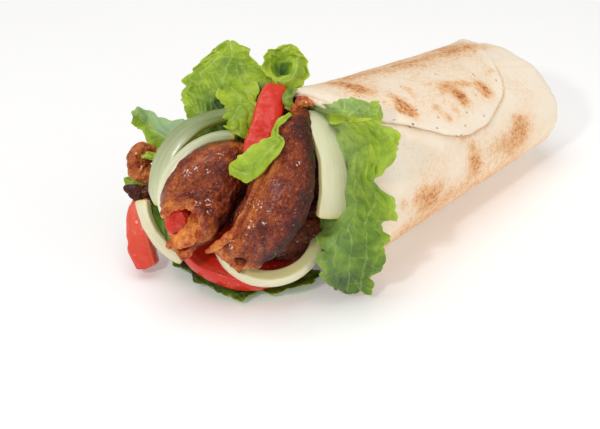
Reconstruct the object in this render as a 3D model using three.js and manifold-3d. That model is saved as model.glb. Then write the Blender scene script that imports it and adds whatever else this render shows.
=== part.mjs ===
// A doner kebab sandwich: a soft flatbread rolled round meat, tomato, onion and lettuce.
// It lies on its side with the filling spilling out of the open end. Millimetres, +Z up,
// the roll's axis along X with the open end toward -X.
import * as THREE from 'three';
import { mergeVertices } from 'three/addons/utils/BufferGeometryUtils.js';
import Module from 'manifold-3d';

const wasm = await Module();
wasm.setup();

// ---------------------------------------------------------------- driving dimensions

const GAP = 0.4; // clearance between pieces that touch
const CORE_GAP = 0.75; // clearance between the packed meat and what it is packed against

// The rolled bread, an oval tube that tapers and flattens from its mouth to its tucked end.
const ROLL_LENGTH = 122.5;
const MOUTH_HALF_WIDTH = 36.4;
const TAIL_HALF_WIDTH = 31.9;
const MOUTH_HALF_HEIGHT = 34.1;
const TAIL_HALF_HEIGHT = 22.3;
const SAG = 0.97; // height of the tube's middle over its half height: it rests on a flat strip
const TUCK_LENGTH = 14; // length over which the far end rounds in and closes
const TUCK_POWER = 2.4; // squareness of that rounding
const BREAD_THICKNESS = 2;
const RIM_X = -5.7; // the mouth's edge
const RIM_NOTCH = 5.2; // how far the edge draws back high on the far side
const RIM_LIP = 8; // how far the edge reaches out low on the far side
const RIM_NEAR_LIP = 7.5; // how far it reaches out on the near side
const RIM_NEAR_ANGLE = -4; // where on the near side that lip has its middle
const BREAD_WAVE = 0.45; // height of the bread's gentle dents

// The loose outer turn of the bread, which wraps over the top and ends in a curved free edge.
const FLAP_THICKNESS = 1.7;
const FLAP_LIFT = 1.1; // how far the free edge stands off the turn below
const FLAP_ROOT_ANGLE = 150;
const FLAP_SINK = 0.8; // how deep its lower face sits in the turn below
const CORNER_LIFT = 2.4; // how far its corner at the mouth stands up
const CORNER_ANGLE = 112;

// The heap of filling outside the mouth has a frame of its own: X across it, Y up it and Z out
// of its face. The frame stands at HEAP_CENTRE, turned about Z and then leaned back.
const HEAP_CENTRE = new THREE.Vector3(-39, 12, 35);
const HEAP_TURN = THREE.MathUtils.degToRad(-49.4);
const HEAP_LEAN = THREE.MathUtils.degToRad(58);

const LEAF_THICKNESS = 0.9;
const SLICE_THICKNESS = 8; // of the round tomato slice
const SLICE_RADIUS = 28;

// ---------------------------------------------------------------- points, curves and relief

const mix = THREE.MathUtils.lerp;
const clamp = THREE.MathUtils.clamp;
const radians = THREE.MathUtils.degToRad;
const smooth = (value) => THREE.MathUtils.smoothstep(value, 0, 1);
const curveThrough = (points) =>
  new THREE.CatmullRomCurve3(points.map((point) => new THREE.Vector3(...point)));

// A bump of height 1 at a middle value, falling to 0 within a reach on both sides.
const bump = (value, middle, reach) => smooth(1 - Math.abs(value - middle) / reach);

// Uneven relief between -1 and 1, the same at every run, with lumps of about the given size.
function lumps(point, size) {
  const x = point.x / size;
  const y = point.y / size;
  const z = point.z / size;
  return (
    (Math.sin(x + 1.3 * Math.sin(y)) + Math.sin(1.1 * y + 1.7 * Math.sin(z)) +
      Math.sin(0.9 * z + 1.1 * Math.sin(x))) / 3
  );
}

// ---------------------------------------------------------------- closed surfaces and solids

function indexed(points, triangles) {
  const geometry = new THREE.BufferGeometry();
  geometry.setAttribute(
    'position',
    new THREE.Float32BufferAttribute(points.flatMap((point) => point.toArray()), 3),
  );
  geometry.setIndex(triangles);
  return geometry;
}

// Faces of a closed surface all turned outward, which makes the enclosed volume positive.
function facingOut(points, triangles) {
  const cross = new THREE.Vector3();
  let volume = 0;
  for (let i = 0; i < triangles.length; i += 3) {
    cross.crossVectors(points[triangles[i + 1]], points[triangles[i + 2]]);
    volume += points[triangles[i]].dot(cross);
  }
  return indexed(points, volume < 0 ? triangles.slice().reverse() : triangles);
}

// A closed skin over a row of rings with equally many points, with a fan over both end rings.
function skin(rings) {
  const sides = rings[0].length;
  const points = rings.flat();
  const triangles = [];
  for (let ring = 0; ring < rings.length - 1; ring += 1) {
    for (let side = 0; side < sides; side += 1) {
      const a = ring * sides + side;
      const b = ring * sides + ((side + 1) % sides);
      triangles.push(a, b, a + sides, b, b + sides, a + sides);
    }
  }
  for (const [first, turned] of [[0, true], [(rings.length - 1) * sides, false]]) {
    const middle = new THREE.Vector3();
    for (let side = 0; side < sides; side += 1) {
      middle.addScaledVector(points[first + side], 1 / sides);
    }
    points.push(middle);
    for (let side = 0; side < sides; side += 1) {
      const a = first + side;
      const b = first + ((side + 1) % sides);
      triangles.push(...(turned ? [b, a, points.length - 1] : [a, b, points.length - 1]));
    }
  }
  return facingOut(points, triangles);
}

// A closed slab between two faces given over the unit square, both split into triangles alike.
function slab(upper, lower, steps, lanes) {
  const points = [];
  for (const face of [upper, lower]) {
    for (let i = 0; i <= steps; i += 1) {
      for (let j = 0; j <= lanes; j += 1) {
        points.push(face(i / steps, j / lanes));
      }
    }
  }
  const at = (i, j) => i * (lanes + 1) + j;
  const count = (steps + 1) * (lanes + 1);
  const triangles = [];
  for (let i = 0; i < steps; i += 1) {
    for (let j = 0; j < lanes; j += 1) {
      const [a, b, c, d] = [at(i, j), at(i + 1, j), at(i + 1, j + 1), at(i, j + 1)];
      triangles.push(a, b, c, a, c, d);
      triangles.push(count + a, count + c, count + b, count + a, count + d, count + c);
    }
  }
  const border = [];
  for (let i = 0; i < steps; i += 1) border.push(at(i, 0));
  for (let j = 0; j < lanes; j += 1) border.push(at(steps, j));
  for (let i = steps; i > 0; i -= 1) border.push(at(i, lanes));
  for (let j = lanes; j > 0; j -= 1) border.push(at(0, j));
  border.forEach((a, index) => {
    const b = border[(index + 1) % border.length];
    triangles.push(a, count + a, b, b, count + a, count + b);
  });
  return facingOut(points, triangles);
}

// A slab of even thickness about a middle surface given over the unit square.
function sheet(surface, thickness, steps, lanes) {
  const nudge = 0.01;
  const offset = (distance) => (u, v) => {
    const along = surface(u + nudge, v).sub(surface(u - nudge, v));
    const across = surface(u, v + nudge).sub(surface(u, v - nudge));
    const normal = along.cross(across).normalize();
    return surface(u, v).addScaledVector(normal, distance);
  };
  return slab(offset(thickness / 2), offset(-thickness / 2), steps, lanes);
}

function toSolid(geometry) {
  return new wasm.Manifold(
    new wasm.Mesh({
      numProp: 3,
      vertProperties: new Float32Array(geometry.getAttribute('position').array),
      triVerts: new Uint32Array(geometry.getIndex().array),
    }),
  );
}

// The largest connected piece of a solid, as a geometry: scraps that a cut leaves are dropped.
function largestPiece(solid) {
  const pieces = solid.decompose();
  const largest = pieces.reduce((best, piece) => (piece.volume() > best.volume() ? piece : best));
  const mesh = largest.getMesh();
  const geometry = new THREE.BufferGeometry();
  geometry.setAttribute('position', new THREE.BufferAttribute(mesh.vertProperties, 3));
  geometry.setIndex(new THREE.BufferAttribute(mesh.triVerts, 1));
  return geometry;
}

const joined = (first, second) => largestPiece(toSolid(first).add(toSolid(second)));

// The same closed surface, pushed outward by a clearance.
function grown(geometry, clearance) {
  const larger = geometry.clone();
  larger.computeVertexNormals();
  const position = larger.getAttribute('position');
  const normal = larger.getAttribute('normal');
  for (let i = 0; i < position.count; i += 1) {
    position.setXYZ(
      i,
      position.getX(i) + clearance * normal.getX(i),
      position.getY(i) + clearance * normal.getY(i),
      position.getZ(i) + clearance * normal.getZ(i),
    );
  }
  return larger;
}

// ---------------------------------------------------------------- flatbread

// A point of the rolled bread's outside: x along the roll, angle round it in degrees from the
// near side over the top to the far side, and a depth below the outside.
function rollPoint(x, angle, depth) {
  const along = clamp(x / ROLL_LENGTH, 0, 1);
  const tuck = clamp((x + depth - ROLL_LENGTH + TUCK_LENGTH) / TUCK_LENGTH, 0, 1);
  const closing = (1 - tuck ** TUCK_POWER) ** (1 / TUCK_POWER);
  const halfWidth = mix(MOUTH_HALF_WIDTH, TAIL_HALF_WIDTH, along) - depth;
  const fullHeight = mix(MOUTH_HALF_HEIGHT, TAIL_HALF_HEIGHT, along);
  const halfHeight = fullHeight - depth;
  const turn = radians(angle);
  return new THREE.Vector3(
    x,
    -halfWidth * closing * Math.cos(turn),
    Math.max(SAG * fullHeight + halfHeight * closing * Math.sin(turn), depth),
  );
}

// The mouth's edge: it draws back high on the far side, and reaches out low on the far side and
// all down the near side.
function rimX(angle) {
  const nearness = smooth((Math.cos(radians(angle - RIM_NEAR_ANGLE)) - 0.5) / 0.35);
  return RIM_X + RIM_NOTCH * bump(angle, 128, 38) - RIM_LIP * bump(angle, 235, 70) -
    RIM_NEAR_LIP * nearness;
}

// The bread's gentle dents, which fade out toward the underside it rests on.
function dents(x, angle) {
  const free = smooth((Math.sin(radians(angle)) + 1) / 0.6);
  return -BREAD_WAVE * free * (1 + lumps(new THREE.Vector3(x, angle / 2.2, x / 3), 11)) / 2;
}

function breadRoll() {
  const sides = 30;
  const outsideEnd = ROLL_LENGTH - 0.4;
  const hollowEnd = ROLL_LENGTH - 7;
  const outside = [1, 0.985, 0.95, 0.91, 0.85, 0.76, 0.67, 0.58, 0.49, 0.4, 0.31, 0.22, 0.14, 0.07, 0];
  const inside = [0, 0.25, 0.5, 0.75, 0.92, 1];
  const ring = (along, end, depthAt) =>
    Array.from({ length: sides }, (_, side) => {
      const angle = (360 * side) / sides - 90;
      const x = mix(rimX(angle < 0 ? angle + 360 : angle), end, along);
      return rollPoint(x, angle, depthAt(x, angle));
    });
  return skin([
    ...outside.map((along) => ring(along, outsideEnd, (x, angle) => -dents(x, angle))),
    ...inside.map((along) => ring(along, hollowEnd, () => BREAD_THICKNESS)),
  ]);
}

// The outer turn's free edge, as places x along the roll and angles round it.
const FLAP_EDGE = curveThrough([
  [-5, 66, 0], [5, 58, 0], [26, 40, 0], [43, 27.5, 0], [61, 29, 0],
  [80, 44, 0], [91, 68, 0], [99, 88, 0], [110, 118, 0],
]);

function breadFlap() {
  const place = (u, v) => {
    const edge = FLAP_EDGE.getPoint(u);
    const rim = rimX(mix(edge.y, FLAP_ROOT_ANGLE, v)) + 0.2;
    const rootX = mix(rim, ROLL_LENGTH - 5, u);
    return [mix(edge.x, rootX, smooth(v)), mix(edge.y, FLAP_ROOT_ANGLE, v)];
  };
  const lift = (u, v) => {
    const [x, angle] = place(u, v);
    const edgeLift = FLAP_LIFT * bump(u, 0.34, 0.3) * smooth(1 - v / 0.12);
    return edgeLift + CORNER_LIFT * bump(angle, CORNER_ANGLE, 36) * smooth(1 - (x - RIM_X) / 28);
  };
  const upper = (u, v) => {
    const [x, angle] = place(u, v);
    const height = mix(FLAP_THICKNESS - 0.2, -0.2, smooth(v)) + lift(u, v) + dents(x, angle);
    return rollPoint(x, angle, -height);
  };
  const lower = (u, v) => {
    const [x, angle] = place(u, v);
    return rollPoint(x, angle, mix(0.1, FLAP_SINK, smooth(v / 0.2)) - lift(u, v) - dents(x, angle));
  };
  return slab(upper, lower, 18, 8);
}

// ---------------------------------------------------------------- filling pieces in the heap

// A chunk along a spine, with an oval section of given half widths and half depths at the
// spine's points. With a hollow, the far end is an open cup of that depth and wall thickness.
function chunk({ spine, halfWidths, halfDepths, sides = 16, steps = 20, relief = 0.6, hollow, shape }) {
  const path = curveThrough(spine);
  const sizes = curveThrough(halfWidths.map((width, i) => [width, halfDepths[i], 0]));
  const ring = (t, wall) => {
    const centre = path.getPoint(t);
    const along = path.getTangent(t);
    const across = new THREE.Vector3(-along.y, along.x, 0).normalize();
    const outward = new THREE.Vector3().crossVectors(along, across);
    const size = sizes.getPoint(t);
    return Array.from({ length: sides }, (_, side) => {
      const turn = (2 * Math.PI * side) / sides;
      const point = centre.clone()
        .addScaledVector(across, (size.x - wall) * Math.cos(turn))
        .addScaledVector(outward, (size.y - wall) * Math.sin(turn));
      const swell = 1 + (relief * lumps(point, 2.3)) / Math.max(size.x, size.y);
      const moved = shape ? shape(t, turn, wall) : { out: 1, along: 0 };
      return point.sub(centre).multiplyScalar(swell * moved.out).add(centre)
        .addScaledVector(along, moved.along);
    });
  };
  const rings = Array.from({ length: steps + 1 }, (_, step) => ring(step / steps, 0));
  if (hollow) {
    for (const depth of [0, 0.5, 1]) {
      rings.push(ring(1 - depth * hollow.depth, hollow.wall + depth * hollow.narrowing));
    }
  }
  return skin(rings);
}

// A ring or part of a ring cut from an onion: a band round an axis, with its height at both ends
// and its wall. The lean tips the band's long side from the axis toward the ring's middle.
function onionBand({ centre, axis, start, sweep, radius, heights, wall, lean = 0, steps = 14 }) {
  const sides = 8;
  const up = new THREE.Vector3(...axis).normalize();
  const right = new THREE.Vector3(1, 0, 0).addScaledVector(up, -up.x).normalize();
  const top = new THREE.Vector3().crossVectors(up, right);
  const rings = Array.from({ length: steps + 1 }, (_, step) => {
    const share = step / steps;
    const turn = radians(start + sweep * share);
    const outward = right.clone().multiplyScalar(Math.cos(turn)).addScaledVector(top, Math.sin(turn));
    const tip = radians(lean);
    const longSide = up.clone().multiplyScalar(Math.cos(tip)).addScaledVector(outward, -Math.sin(tip));
    const shortSide = outward.clone().multiplyScalar(Math.cos(tip)).addScaledVector(up, Math.sin(tip));
    const middle = new THREE.Vector3(...centre).addScaledVector(outward, radius);
    const halfHeight = mix(heights[0], heights[1], share) / 2;
    return Array.from({ length: sides }, (_, side) => {
      const around = (2 * Math.PI * (side + 0.5)) / sides;
      const square = (value) => Math.sign(value) * Math.abs(value) ** 0.6;
      return middle.clone()
        .addScaledVector(longSide, halfHeight * square(Math.cos(around)))
        .addScaledVector(shortSide, (wall / 2) * square(Math.sin(around)));
    });
  });
  return skin(rings);
}

// A lettuce leaf between two margins and its rib, each a curve from the base to the tip. Its
// surface waves across the leaf and its margins frill, more strongly toward the edge.
function leaf({ left, rib, right, frills = 4, frill = 1.6, wave = 0.8, steps = 20, lanes = 8 }) {
  const [leftMargin, middle, rightMargin] = [left, rib, right].map(curveThrough);
  const flat = (u, v) => {
    const t = clamp(u, 0, 1);
    const across = 2 * v - 1;
    const spill = u - t;
    const point = middle.getPoint(t).multiplyScalar(1 - across * across)
      .addScaledVector(leftMargin.getPoint(t), (across * (across - 1)) / 2)
      .addScaledVector(rightMargin.getPoint(t), (across * (across + 1)) / 2);
    return point.addScaledVector(middle.getTangent(t), spill * 20);
  };
  const surface = (u, v) => {
    const nudge = 0.02;
    const along = flat(u + nudge, v).sub(flat(u - nudge, v));
    const across = flat(u, v + nudge).sub(flat(u, v - nudge));
    const normal = along.cross(across).normalize();
    const edge = Math.abs(2 * v - 1);
    const phase = v > 0.5 ? 1.1 : 0;
    const ruffle = frill * edge ** 2.5 * Math.sin(2 * Math.PI * frills * u + phase);
    const point = flat(u, v);
    return point.addScaledVector(normal, ruffle + wave * lumps(point, 3.5));
  };
  return sheet(surface, LEAF_THICKNESS, steps, lanes);
}

// ---- meat

// Long chunk of shaved meat that leans across the middle of the heap, with a torn shard low
// on its left and a thin raised rim along its left side.
function meatRight() {
  const shardAt = 0.95;
  return chunk({
    spine: [[25, 34, -3], [22.5, 24, 8], [20.5, 13, 14], [16, 0, 18], [10, -12, 17], [3.5, -24, 12]],
    halfWidths: [2.5, 6.2, 9.3, 12, 10.6, 4.8],
    halfDepths: [2.5, 6.2, 8.6, 10, 8.5, 4.3],
    sides: 14,
    steps: 18,
    shape: (t, turn) => {
      const left = bump(Math.abs(turn - Math.PI), 0, 0.5);
      const shard = left * bump(t, shardAt, 0.07);
      return { out: 1 + 0.1 * left + 1.1 * shard, along: 5 * shard };
    },
  });
}

// Rolled slice of meat whose lower end is a torn, open cup. The cup's left side is torn away,
// and below it a tongue of the wall reaches out.
function meatLeft() {
  return chunk({
    spine: [[4, 18, -8], [-1, 14.5, 1], [-7, 9, 7], [-12.5, 1, 9], [-15.5, -5, 12.5], [-18, -9.5, 19.5]],
    halfWidths: [3, 8.2, 12, 13.4, 12.8, 9.5],
    halfDepths: [3, 6.5, 9.5, 10.5, 10, 9.5],
    sides: 14,
    steps: 18,
    hollow: { depth: 0.3, wall: 3.4, narrowing: 2 },
    shape: (t, turn) => {
      const torn = smooth((t - 0.85) / 0.15);
      const ragged = 1.3 * Math.sin(3 * turn + 0.4) + 0.8 * Math.sin(7 * turn + 1.9);
      const tornAway = 7.5 * smooth((t - 0.6) / 0.4) * bump(turn, 4.0, 0.95);
      const tongue = torn * bump(turn, 5.1, 0.55);
      return {
        out: 1 + 0.05 * torn * Math.sin(5 * turn) + 0.45 * tongue,
        along: torn * ragged + tongue - tornAway,
      };
    },
  });
}

function meatLower() {
  return chunk({
    spine: [[34, -2, -6], [29, -8, -3.5], [20, -14.5, 0], [9, -18.5, 1.5]],
    halfWidths: [5, 7, 7.5, 3.5],
    halfDepths: [3.5, 4, 4, 2.5],
    sides: 12,
    steps: 12,
  });
}

// Small browned scraps: a curl and a dark flake at the left, and a torn bit at the top.
function meatCurl() {
  return chunk({
    spine: [
      [-29, 5, -22], [-32, 10, -19], [-37, 11, -17],
      [-38.5, 16, -17], [-35, 18.5, -18], [-31, 15, -20],
    ],
    halfWidths: [1.5, 2.8, 3.6, 3.2, 3.4, 2],
    halfDepths: [1.5, 2, 2.6, 2.4, 2.4, 1.4],
    sides: 8,
    steps: 13,
    relief: 0.9,
  });
}

function meatFlake() {
  return chunk({
    spine: [[-29, 1, -21], [-35, 2.5, -17], [-39, 3.5, -16], [-43, 5, -15]],
    halfWidths: [2, 4, 3.4, 1],
    halfDepths: [1.4, 1.6, 1.4, 0.8],
    sides: 8,
    steps: 9,
    relief: 0.7,
  });
}

function meatTopBit() {
  return chunk({
    spine: [[24, 29, -3], [22.5, 33.5, 1.5], [25, 36.5, 4], [29, 34.5, 3.5]],
    halfWidths: [1.4, 1.7, 2.1, 1.2],
    halfDepths: [1.3, 1.5, 1.7, 0.9],
    sides: 8,
    steps: 9,
    relief: 0.9,
  });
}

// ---- tomato

// Round slice low in the heap, tipped so that its cut face looks up and out.
function tomatoSlice() {
  const half = SLICE_THICKNESS / 2;
  const profile = [
    [0, -half], [SLICE_RADIUS - 1.5, -half], [SLICE_RADIUS - 0.3, -half + 1.2],
    [SLICE_RADIUS, 0], [SLICE_RADIUS - 0.3, half - 1], [SLICE_RADIUS - 1.2, half], [0, half],
  ].map(([x, y]) => new THREE.Vector2(x, y));
  const geometry = new THREE.LatheGeometry(profile, 30);
  geometry.rotateX(radians(60));
  geometry.translate(4, -8, -14);
  return geometry;
}

function tomatoTop() {
  return chunk({
    spine: [[15.5, 42.5, -10], [13.8, 37.5, -5], [12, 30, 1], [9.3, 22.5, 6], [6, 15, 9]],
    halfWidths: [3.6, 5.3, 5.4, 4.9, 4.2],
    halfDepths: [2.6, 3.8, 4, 3.6, 2.6],
    sides: 12,
    steps: 12,
    relief: 0.15,
  });
}

function tomatoLeft() {
  return chunk({
    spine: [[-36, 2, -22], [-37.3, -8, -18], [-36, -18, -17.5], [-33.5, -25.5, -18]],
    halfWidths: [3, 4.6, 5, 4.4],
    halfDepths: [4.5, 5.5, 4.8, 3.6],
    sides: 12,
    steps: 8,
    relief: 0.15,
  });
}

function tomatoInside() {
  return chunk({
    spine: [[-15.5, -3.5, 10], [-18.8, -6.3, 13.5], [-21.3, -7.8, 17.5]],
    halfWidths: [3.4, 5, 4.6],
    halfDepths: [3.2, 5, 4.6],
    sides: 10,
    steps: 6,
    relief: 0.3,
  });
}

// ---- onion

function onionRight() {
  return onionBand({
    centre: [20.5, 4, -15.8],
    axis: [-0.87, 0, 0.5],
    start: -20,
    sweep: 82,
    radius: 32,
    heights: [11.5, 11],
    wall: 2.6,
  });
}

function onionBottom() {
  return onionBand({
    centre: [12.3, -13.3, -3.2],
    axis: [0, 0.5, 0.87],
    start: 196,
    sweep: 169,
    radius: 18.3,
    heights: [6, 6],
    wall: 4.2,
    steps: 17,
  });
}

function onionLeftOuter() {
  return onionBand({
    centre: [-1, 4, -9],
    axis: [0.1, -0.1, 1],
    start: 186,
    sweep: -88,
    radius: 28,
    heights: [8.5, 5],
    wall: 2.8,
    lean: 62,
  });
}

function onionLeftInner() {
  return onionBand({
    centre: [-2, -1, -4.5],
    axis: [0.1, -0.1, 1],
    start: 186,
    sweep: -92,
    radius: 24.8,
    heights: [4.8, 3.8],
    wall: 2.8,
    lean: 55,
  });
}

function onionLeftLow() {
  return onionBand({
    centre: [-9, 2, -13],
    axis: [0.05, 0.05, 1],
    start: 184,
    sweep: 62,
    radius: 26.5,
    heights: [4.8, 4.8],
    wall: 3,
    lean: 60,
    steps: 12,
  });
}

// ---- lettuce

// The back leaf stands up behind the heap; a fold of it hangs forward over the onion's ends.
function lettuceBack() {
  const upright = leaf({
    left: [[-18, 8, -17], [-17, 27, -15], [-21, 38, -18], [-20, 47, -21], [-14, 53, -23], [-9, 59, -25]],
    rib: [[-4, 8, -16], [-3, 25, -13], [-3, 38, -15], [-5, 48, -20], [-5, 55, -24], [-4, 61, -27]],
    right: [[10, 14, -14], [14, 28, -14], [18, 41, -15], [15, 47, -18], [8, 52.5, -21], [3, 60, -25]],
    frills: 5,
    frill: 1.4,
    steps: 16,
    lanes: 7,
  });
  const fold = leaf({
    left: [[-9, 40, -15.5], [-7.5, 36, -9], [-5, 30.5, -4.5], [-3.5, 26.5, -3]],
    rib: [[-1, 43, -16.5], [0, 37.5, -8], [1, 31, -2.5], [0.5, 24.5, -1]],
    right: [[8, 44, -16.5], [8, 38, -8.5], [7, 30, -4], [5, 22, -2]],
    frills: 2,
    frill: 0.8,
    wave: 0.4,
    steps: 6,
    lanes: 4,
  });
  return joined(upright, fold);
}

function lettuceCurl() {
  return leaf({
    left: [[15, 40, -10], [14, 45, -8], [10, 50, -10], [12, 56, -16], [16, 59, -22]],
    rib: [[18, 40, -12], [18, 45, -9], [17, 52, -22], [18, 56, -24], [20, 60, -24]],
    right: [[21, 40, -12], [26, 45, -13], [27, 49, -15], [26, 54, -18], [23, 59, -23]],
    frills: 3,
    frill: 0.7,
    wave: 0.4,
    steps: 12,
    lanes: 6,
  });
}

function lettuceFar() {
  return leaf({
    left: [[-15, 29, -14], [-22, 31, -17], [-30, 31.5, -21], [-37, 36, -24], [-40, 35, -26]],
    rib: [[-16, 22, -14], [-24, 24, -17], [-31, 27, -21], [-36, 32, -25], [-40, 33, -26]],
    right: [[-20, 14, -16], [-28, 15, -18], [-34, 22, -22], [-38, 28, -25], [-40, 29, -26]],
    frills: 3,
    frill: 1,
    wave: 0.5,
    steps: 10,
    lanes: 5,
  });
}

function lettuceShoulder() {
  return leaf({
    left: [[26, 35, -4], [36, 35.5, 8], [43, 37, 10], [53.5, 35.5, 9]],
    rib: [[29, 33.5, -5], [40, 31.5, 12], [47, 30.5, 13.5], [53.5, 30, 12.5]],
    right: [[32, 30, -6], [40, 27, 12.5], [47, 25, 14.5], [52, 23.5, 14]],
    frills: 3,
    frill: 1,
    wave: 0.5,
    steps: 10,
    lanes: 4,
  });
}

function lettuceRight() {
  return leaf({
    left: [
      [30, 34, -8], [32, 27, -8], [33, 19, -9], [34, 8, -9], [33, -2, -6],
      [31, -10, 0], [31, -16, 9], [31, -24, 8], [36, -33, -4],
    ],
    rib: [
      [38, 31, 6], [42, 27, 13], [45, 19, 15], [44, 8, 14.5], [44, -2, 13.5],
      [43, -10, 15], [43, -18, 13], [42, -26, 7], [42, -34, -4],
    ],
    right: [
      [44, 30, 16], [54, 27, 20], [60, 19, 23], [52, 8, 19], [59, -3, 17],
      [54, -11, 12], [56, -18, 9], [52, -25, 4], [50, -33, -5],
    ],
    frills: 6,
    frill: 1.3,
    steps: 22,
    lanes: 6,
  });
}

function lettuceShred() {
  return leaf({
    left: [[20, 32, 9.5], [14, 28, 13.5], [14, 24, 19.5], [9, 20, 22.5], [4, 16, 23.5], [-1, 13, 22]],
    rib: [[20.5, 31, 9.5], [15.5, 27, 15.5], [16, 22, 22], [11.5, 16, 25.5], [5, 11, 25], [-1, 11, 22]],
    right: [[21, 30, 10.5], [17, 26, 16.5], [18, 20, 23.5], [14, 13, 26], [6, 6, 24.5], [0, 9, 21]],
    frills: 4,
    frill: 0.5,
    wave: 0.2,
    steps: 16,
    lanes: 4,
  });
}

function lettuceUnder() {
  return leaf({
    left: [
      [-18, -18, -26], [-12, -23.5, -22], [-6, -26.5, -20], [1, -27.5, -19],
      [10, -27.5, -19], [18, -25.5, -20], [29, -24, -22],
    ],
    rib: [
      [-22, -20, -24], [-16, -26.5, -18], [-9, -30.5, -15], [0, -32.5, -12],
      [9, -32.5, -12], [19, -30.5, -14], [30, -27.5, -18],
    ],
    right: [
      [-26, -21, -19], [-19, -29, -11], [-11, -33.5, -7], [-1, -36, -3],
      [8, -35.5, -4], [19, -33.5, -6.5], [31, -30, -11],
    ],
    frills: 4,
    frill: 0.7,
    wave: 0.3,
    steps: 16,
    lanes: 4,
  });
}

function lettuceLowLeft() {
  return leaf({
    left: [[-32, -1, -16], [-31, -10, -16], [-27, -19, -16], [-23, -24, -18]],
    rib: [[-30, -1, -12], [-28, -10, -11], [-25, -18, -11], [-22, -23, -15]],
    right: [[-27, -1, -8], [-24.5, -10, -6], [-22.5, -17, -6], [-20, -22, -12]],
    frills: 2,
    frill: 0.6,
    wave: 0.4,
    steps: 9,
    lanes: 4,
  });
}

function lettuceLeftBit() {
  return leaf({
    left: [[-43, 9, -21], [-38, 9.5, -21], [-32, 12, -22]],
    rib: [[-43, 7, -21], [-37, 7.5, -21], [-32, 10, -22]],
    right: [[-42, 5, -21], [-36, 5, -21], [-31, 8, -22]],
    frills: 2,
    frill: 0.4,
    wave: 0.3,
    steps: 8,
    lanes: 3,
  });
}

function lettuceTopBit() {
  return leaf({
    left: [[19, 42, -5], [18, 38, 1], [18.5, 34, 2]],
    rib: [[21, 41.5, -4], [19.5, 37, 2], [19.5, 33.5, 2]],
    right: [[23, 41, -5], [21, 36, 1], [20.5, 33, 2]],
    frills: 2,
    frill: 0.3,
    wave: 0.2,
    steps: 8,
    lanes: 3,
  });
}

// ---- packed meat

// The meat packed through the roll, which rounds off at the mouth.
function packedMeat() {
  const sides = 20;
  const fit = BREAD_THICKNESS + CORE_GAP + 0.4;
  const places = [
    [-16, 20], [-12, 12], [-5, 5], [6, 1], [30, 0], [55, 0], [80, 0], [101, 0], [111.5, 0],
  ];
  return skin(places.map(([x, slack]) =>
    Array.from({ length: sides }, (_, side) =>
      rollPoint(x, (360 * side) / sides - 60, fit + slack))));
}

// The mound of it that backs the pieces in the heap.
function moundOfMeat() {
  const mound = mergeVertices(bare(new THREE.SphereGeometry(1, 14, 8)));
  mound.scale(25, 22, 15);
  mound.translate(3, 2, -20);
  return mound;
}

function bare(geometry) {
  geometry.deleteAttribute('normal');
  geometry.deleteAttribute('uv');
  return geometry;
}

// ---------------------------------------------------------------- assembly

const BREAD_COLOR = 0xf3e6cf;
const MEAT_COLOR = 0x74371c;
const TOMATO_COLOR = 0xd02a1c;
const ONION_COLOR = 0xe6ecc8;
const LETTUCE_COLOR = 0x8fbf35;

function pieceMesh(name, geometry, color, roughness) {
  const material = new THREE.MeshStandardMaterial({ color, roughness, metalness: 0 });
  const mesh = new THREE.Mesh(geometry, material);
  mesh.name = name;
  return mesh;
}

const sandwich = new THREE.Group();
const roll = new THREE.Group();
const heap = new THREE.Group();
heap.position.copy(HEAP_CENTRE);
heap.rotation.set(HEAP_LEAN, 0, HEAP_TURN, 'ZXY');
heap.updateMatrix();
sandwich.add(roll);
roll.add(heap);

const bread = largestPiece(toSolid(breadRoll()).add(toSolid(breadFlap())));
roll.add(pieceMesh('flatbread', bread, BREAD_COLOR, 0.8));

// The heap's pieces from the front to the back: each is cut clear of the bread and of all the
// pieces before it.
const filling = [
  ['lettuce_shred', lettuceShred(), LETTUCE_COLOR, 0.4],
  ['meat_right', meatRight(), MEAT_COLOR, 0.35],
  ['onion_right', onionRight(), ONION_COLOR, 0.3],
  ['meat_left', meatLeft(), MEAT_COLOR, 0.35],
  ['tomato_inside', tomatoInside(), TOMATO_COLOR, 0.2],
  ['tomato_top', tomatoTop(), TOMATO_COLOR, 0.2],
  ['lettuce_bit_top', lettuceTopBit(), LETTUCE_COLOR, 0.4],
  ['meat_bit_top', meatTopBit(), MEAT_COLOR, 0.35],
  ['onion_bottom', onionBottom(), ONION_COLOR, 0.3],
  ['meat_lower', meatLower(), MEAT_COLOR, 0.35],
  ['tomato_slice', mergeVertices(bare(tomatoSlice())), TOMATO_COLOR, 0.2],
  ['onion_left_inner', onionLeftInner(), ONION_COLOR, 0.3],
  ['onion_left_outer', onionLeftOuter(), ONION_COLOR, 0.3],
  ['onion_left_low', onionLeftLow(), ONION_COLOR, 0.3],
  ['tomato_left', tomatoLeft(), TOMATO_COLOR, 0.2],
  ['meat_curl', meatCurl(), MEAT_COLOR, 0.35],
  ['meat_flake', meatFlake(), MEAT_COLOR, 0.35],
  ['lettuce_shoulder', lettuceShoulder(), LETTUCE_COLOR, 0.4],
  ['lettuce_right', lettuceRight(), LETTUCE_COLOR, 0.4],
  ['lettuce_low_left', lettuceLowLeft(), LETTUCE_COLOR, 0.4],
  ['lettuce_bit_left', lettuceLeftBit(), LETTUCE_COLOR, 0.4],
  ['lettuce_far', lettuceFar(), LETTUCE_COLOR, 0.4],
  ['lettuce_back', lettuceBack(), LETTUCE_COLOR, 0.4],
  ['lettuce_curl', lettuceCurl(), LETTUCE_COLOR, 0.4],
  ['lettuce_under', lettuceUnder(), LETTUCE_COLOR, 0.4],
];

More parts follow.
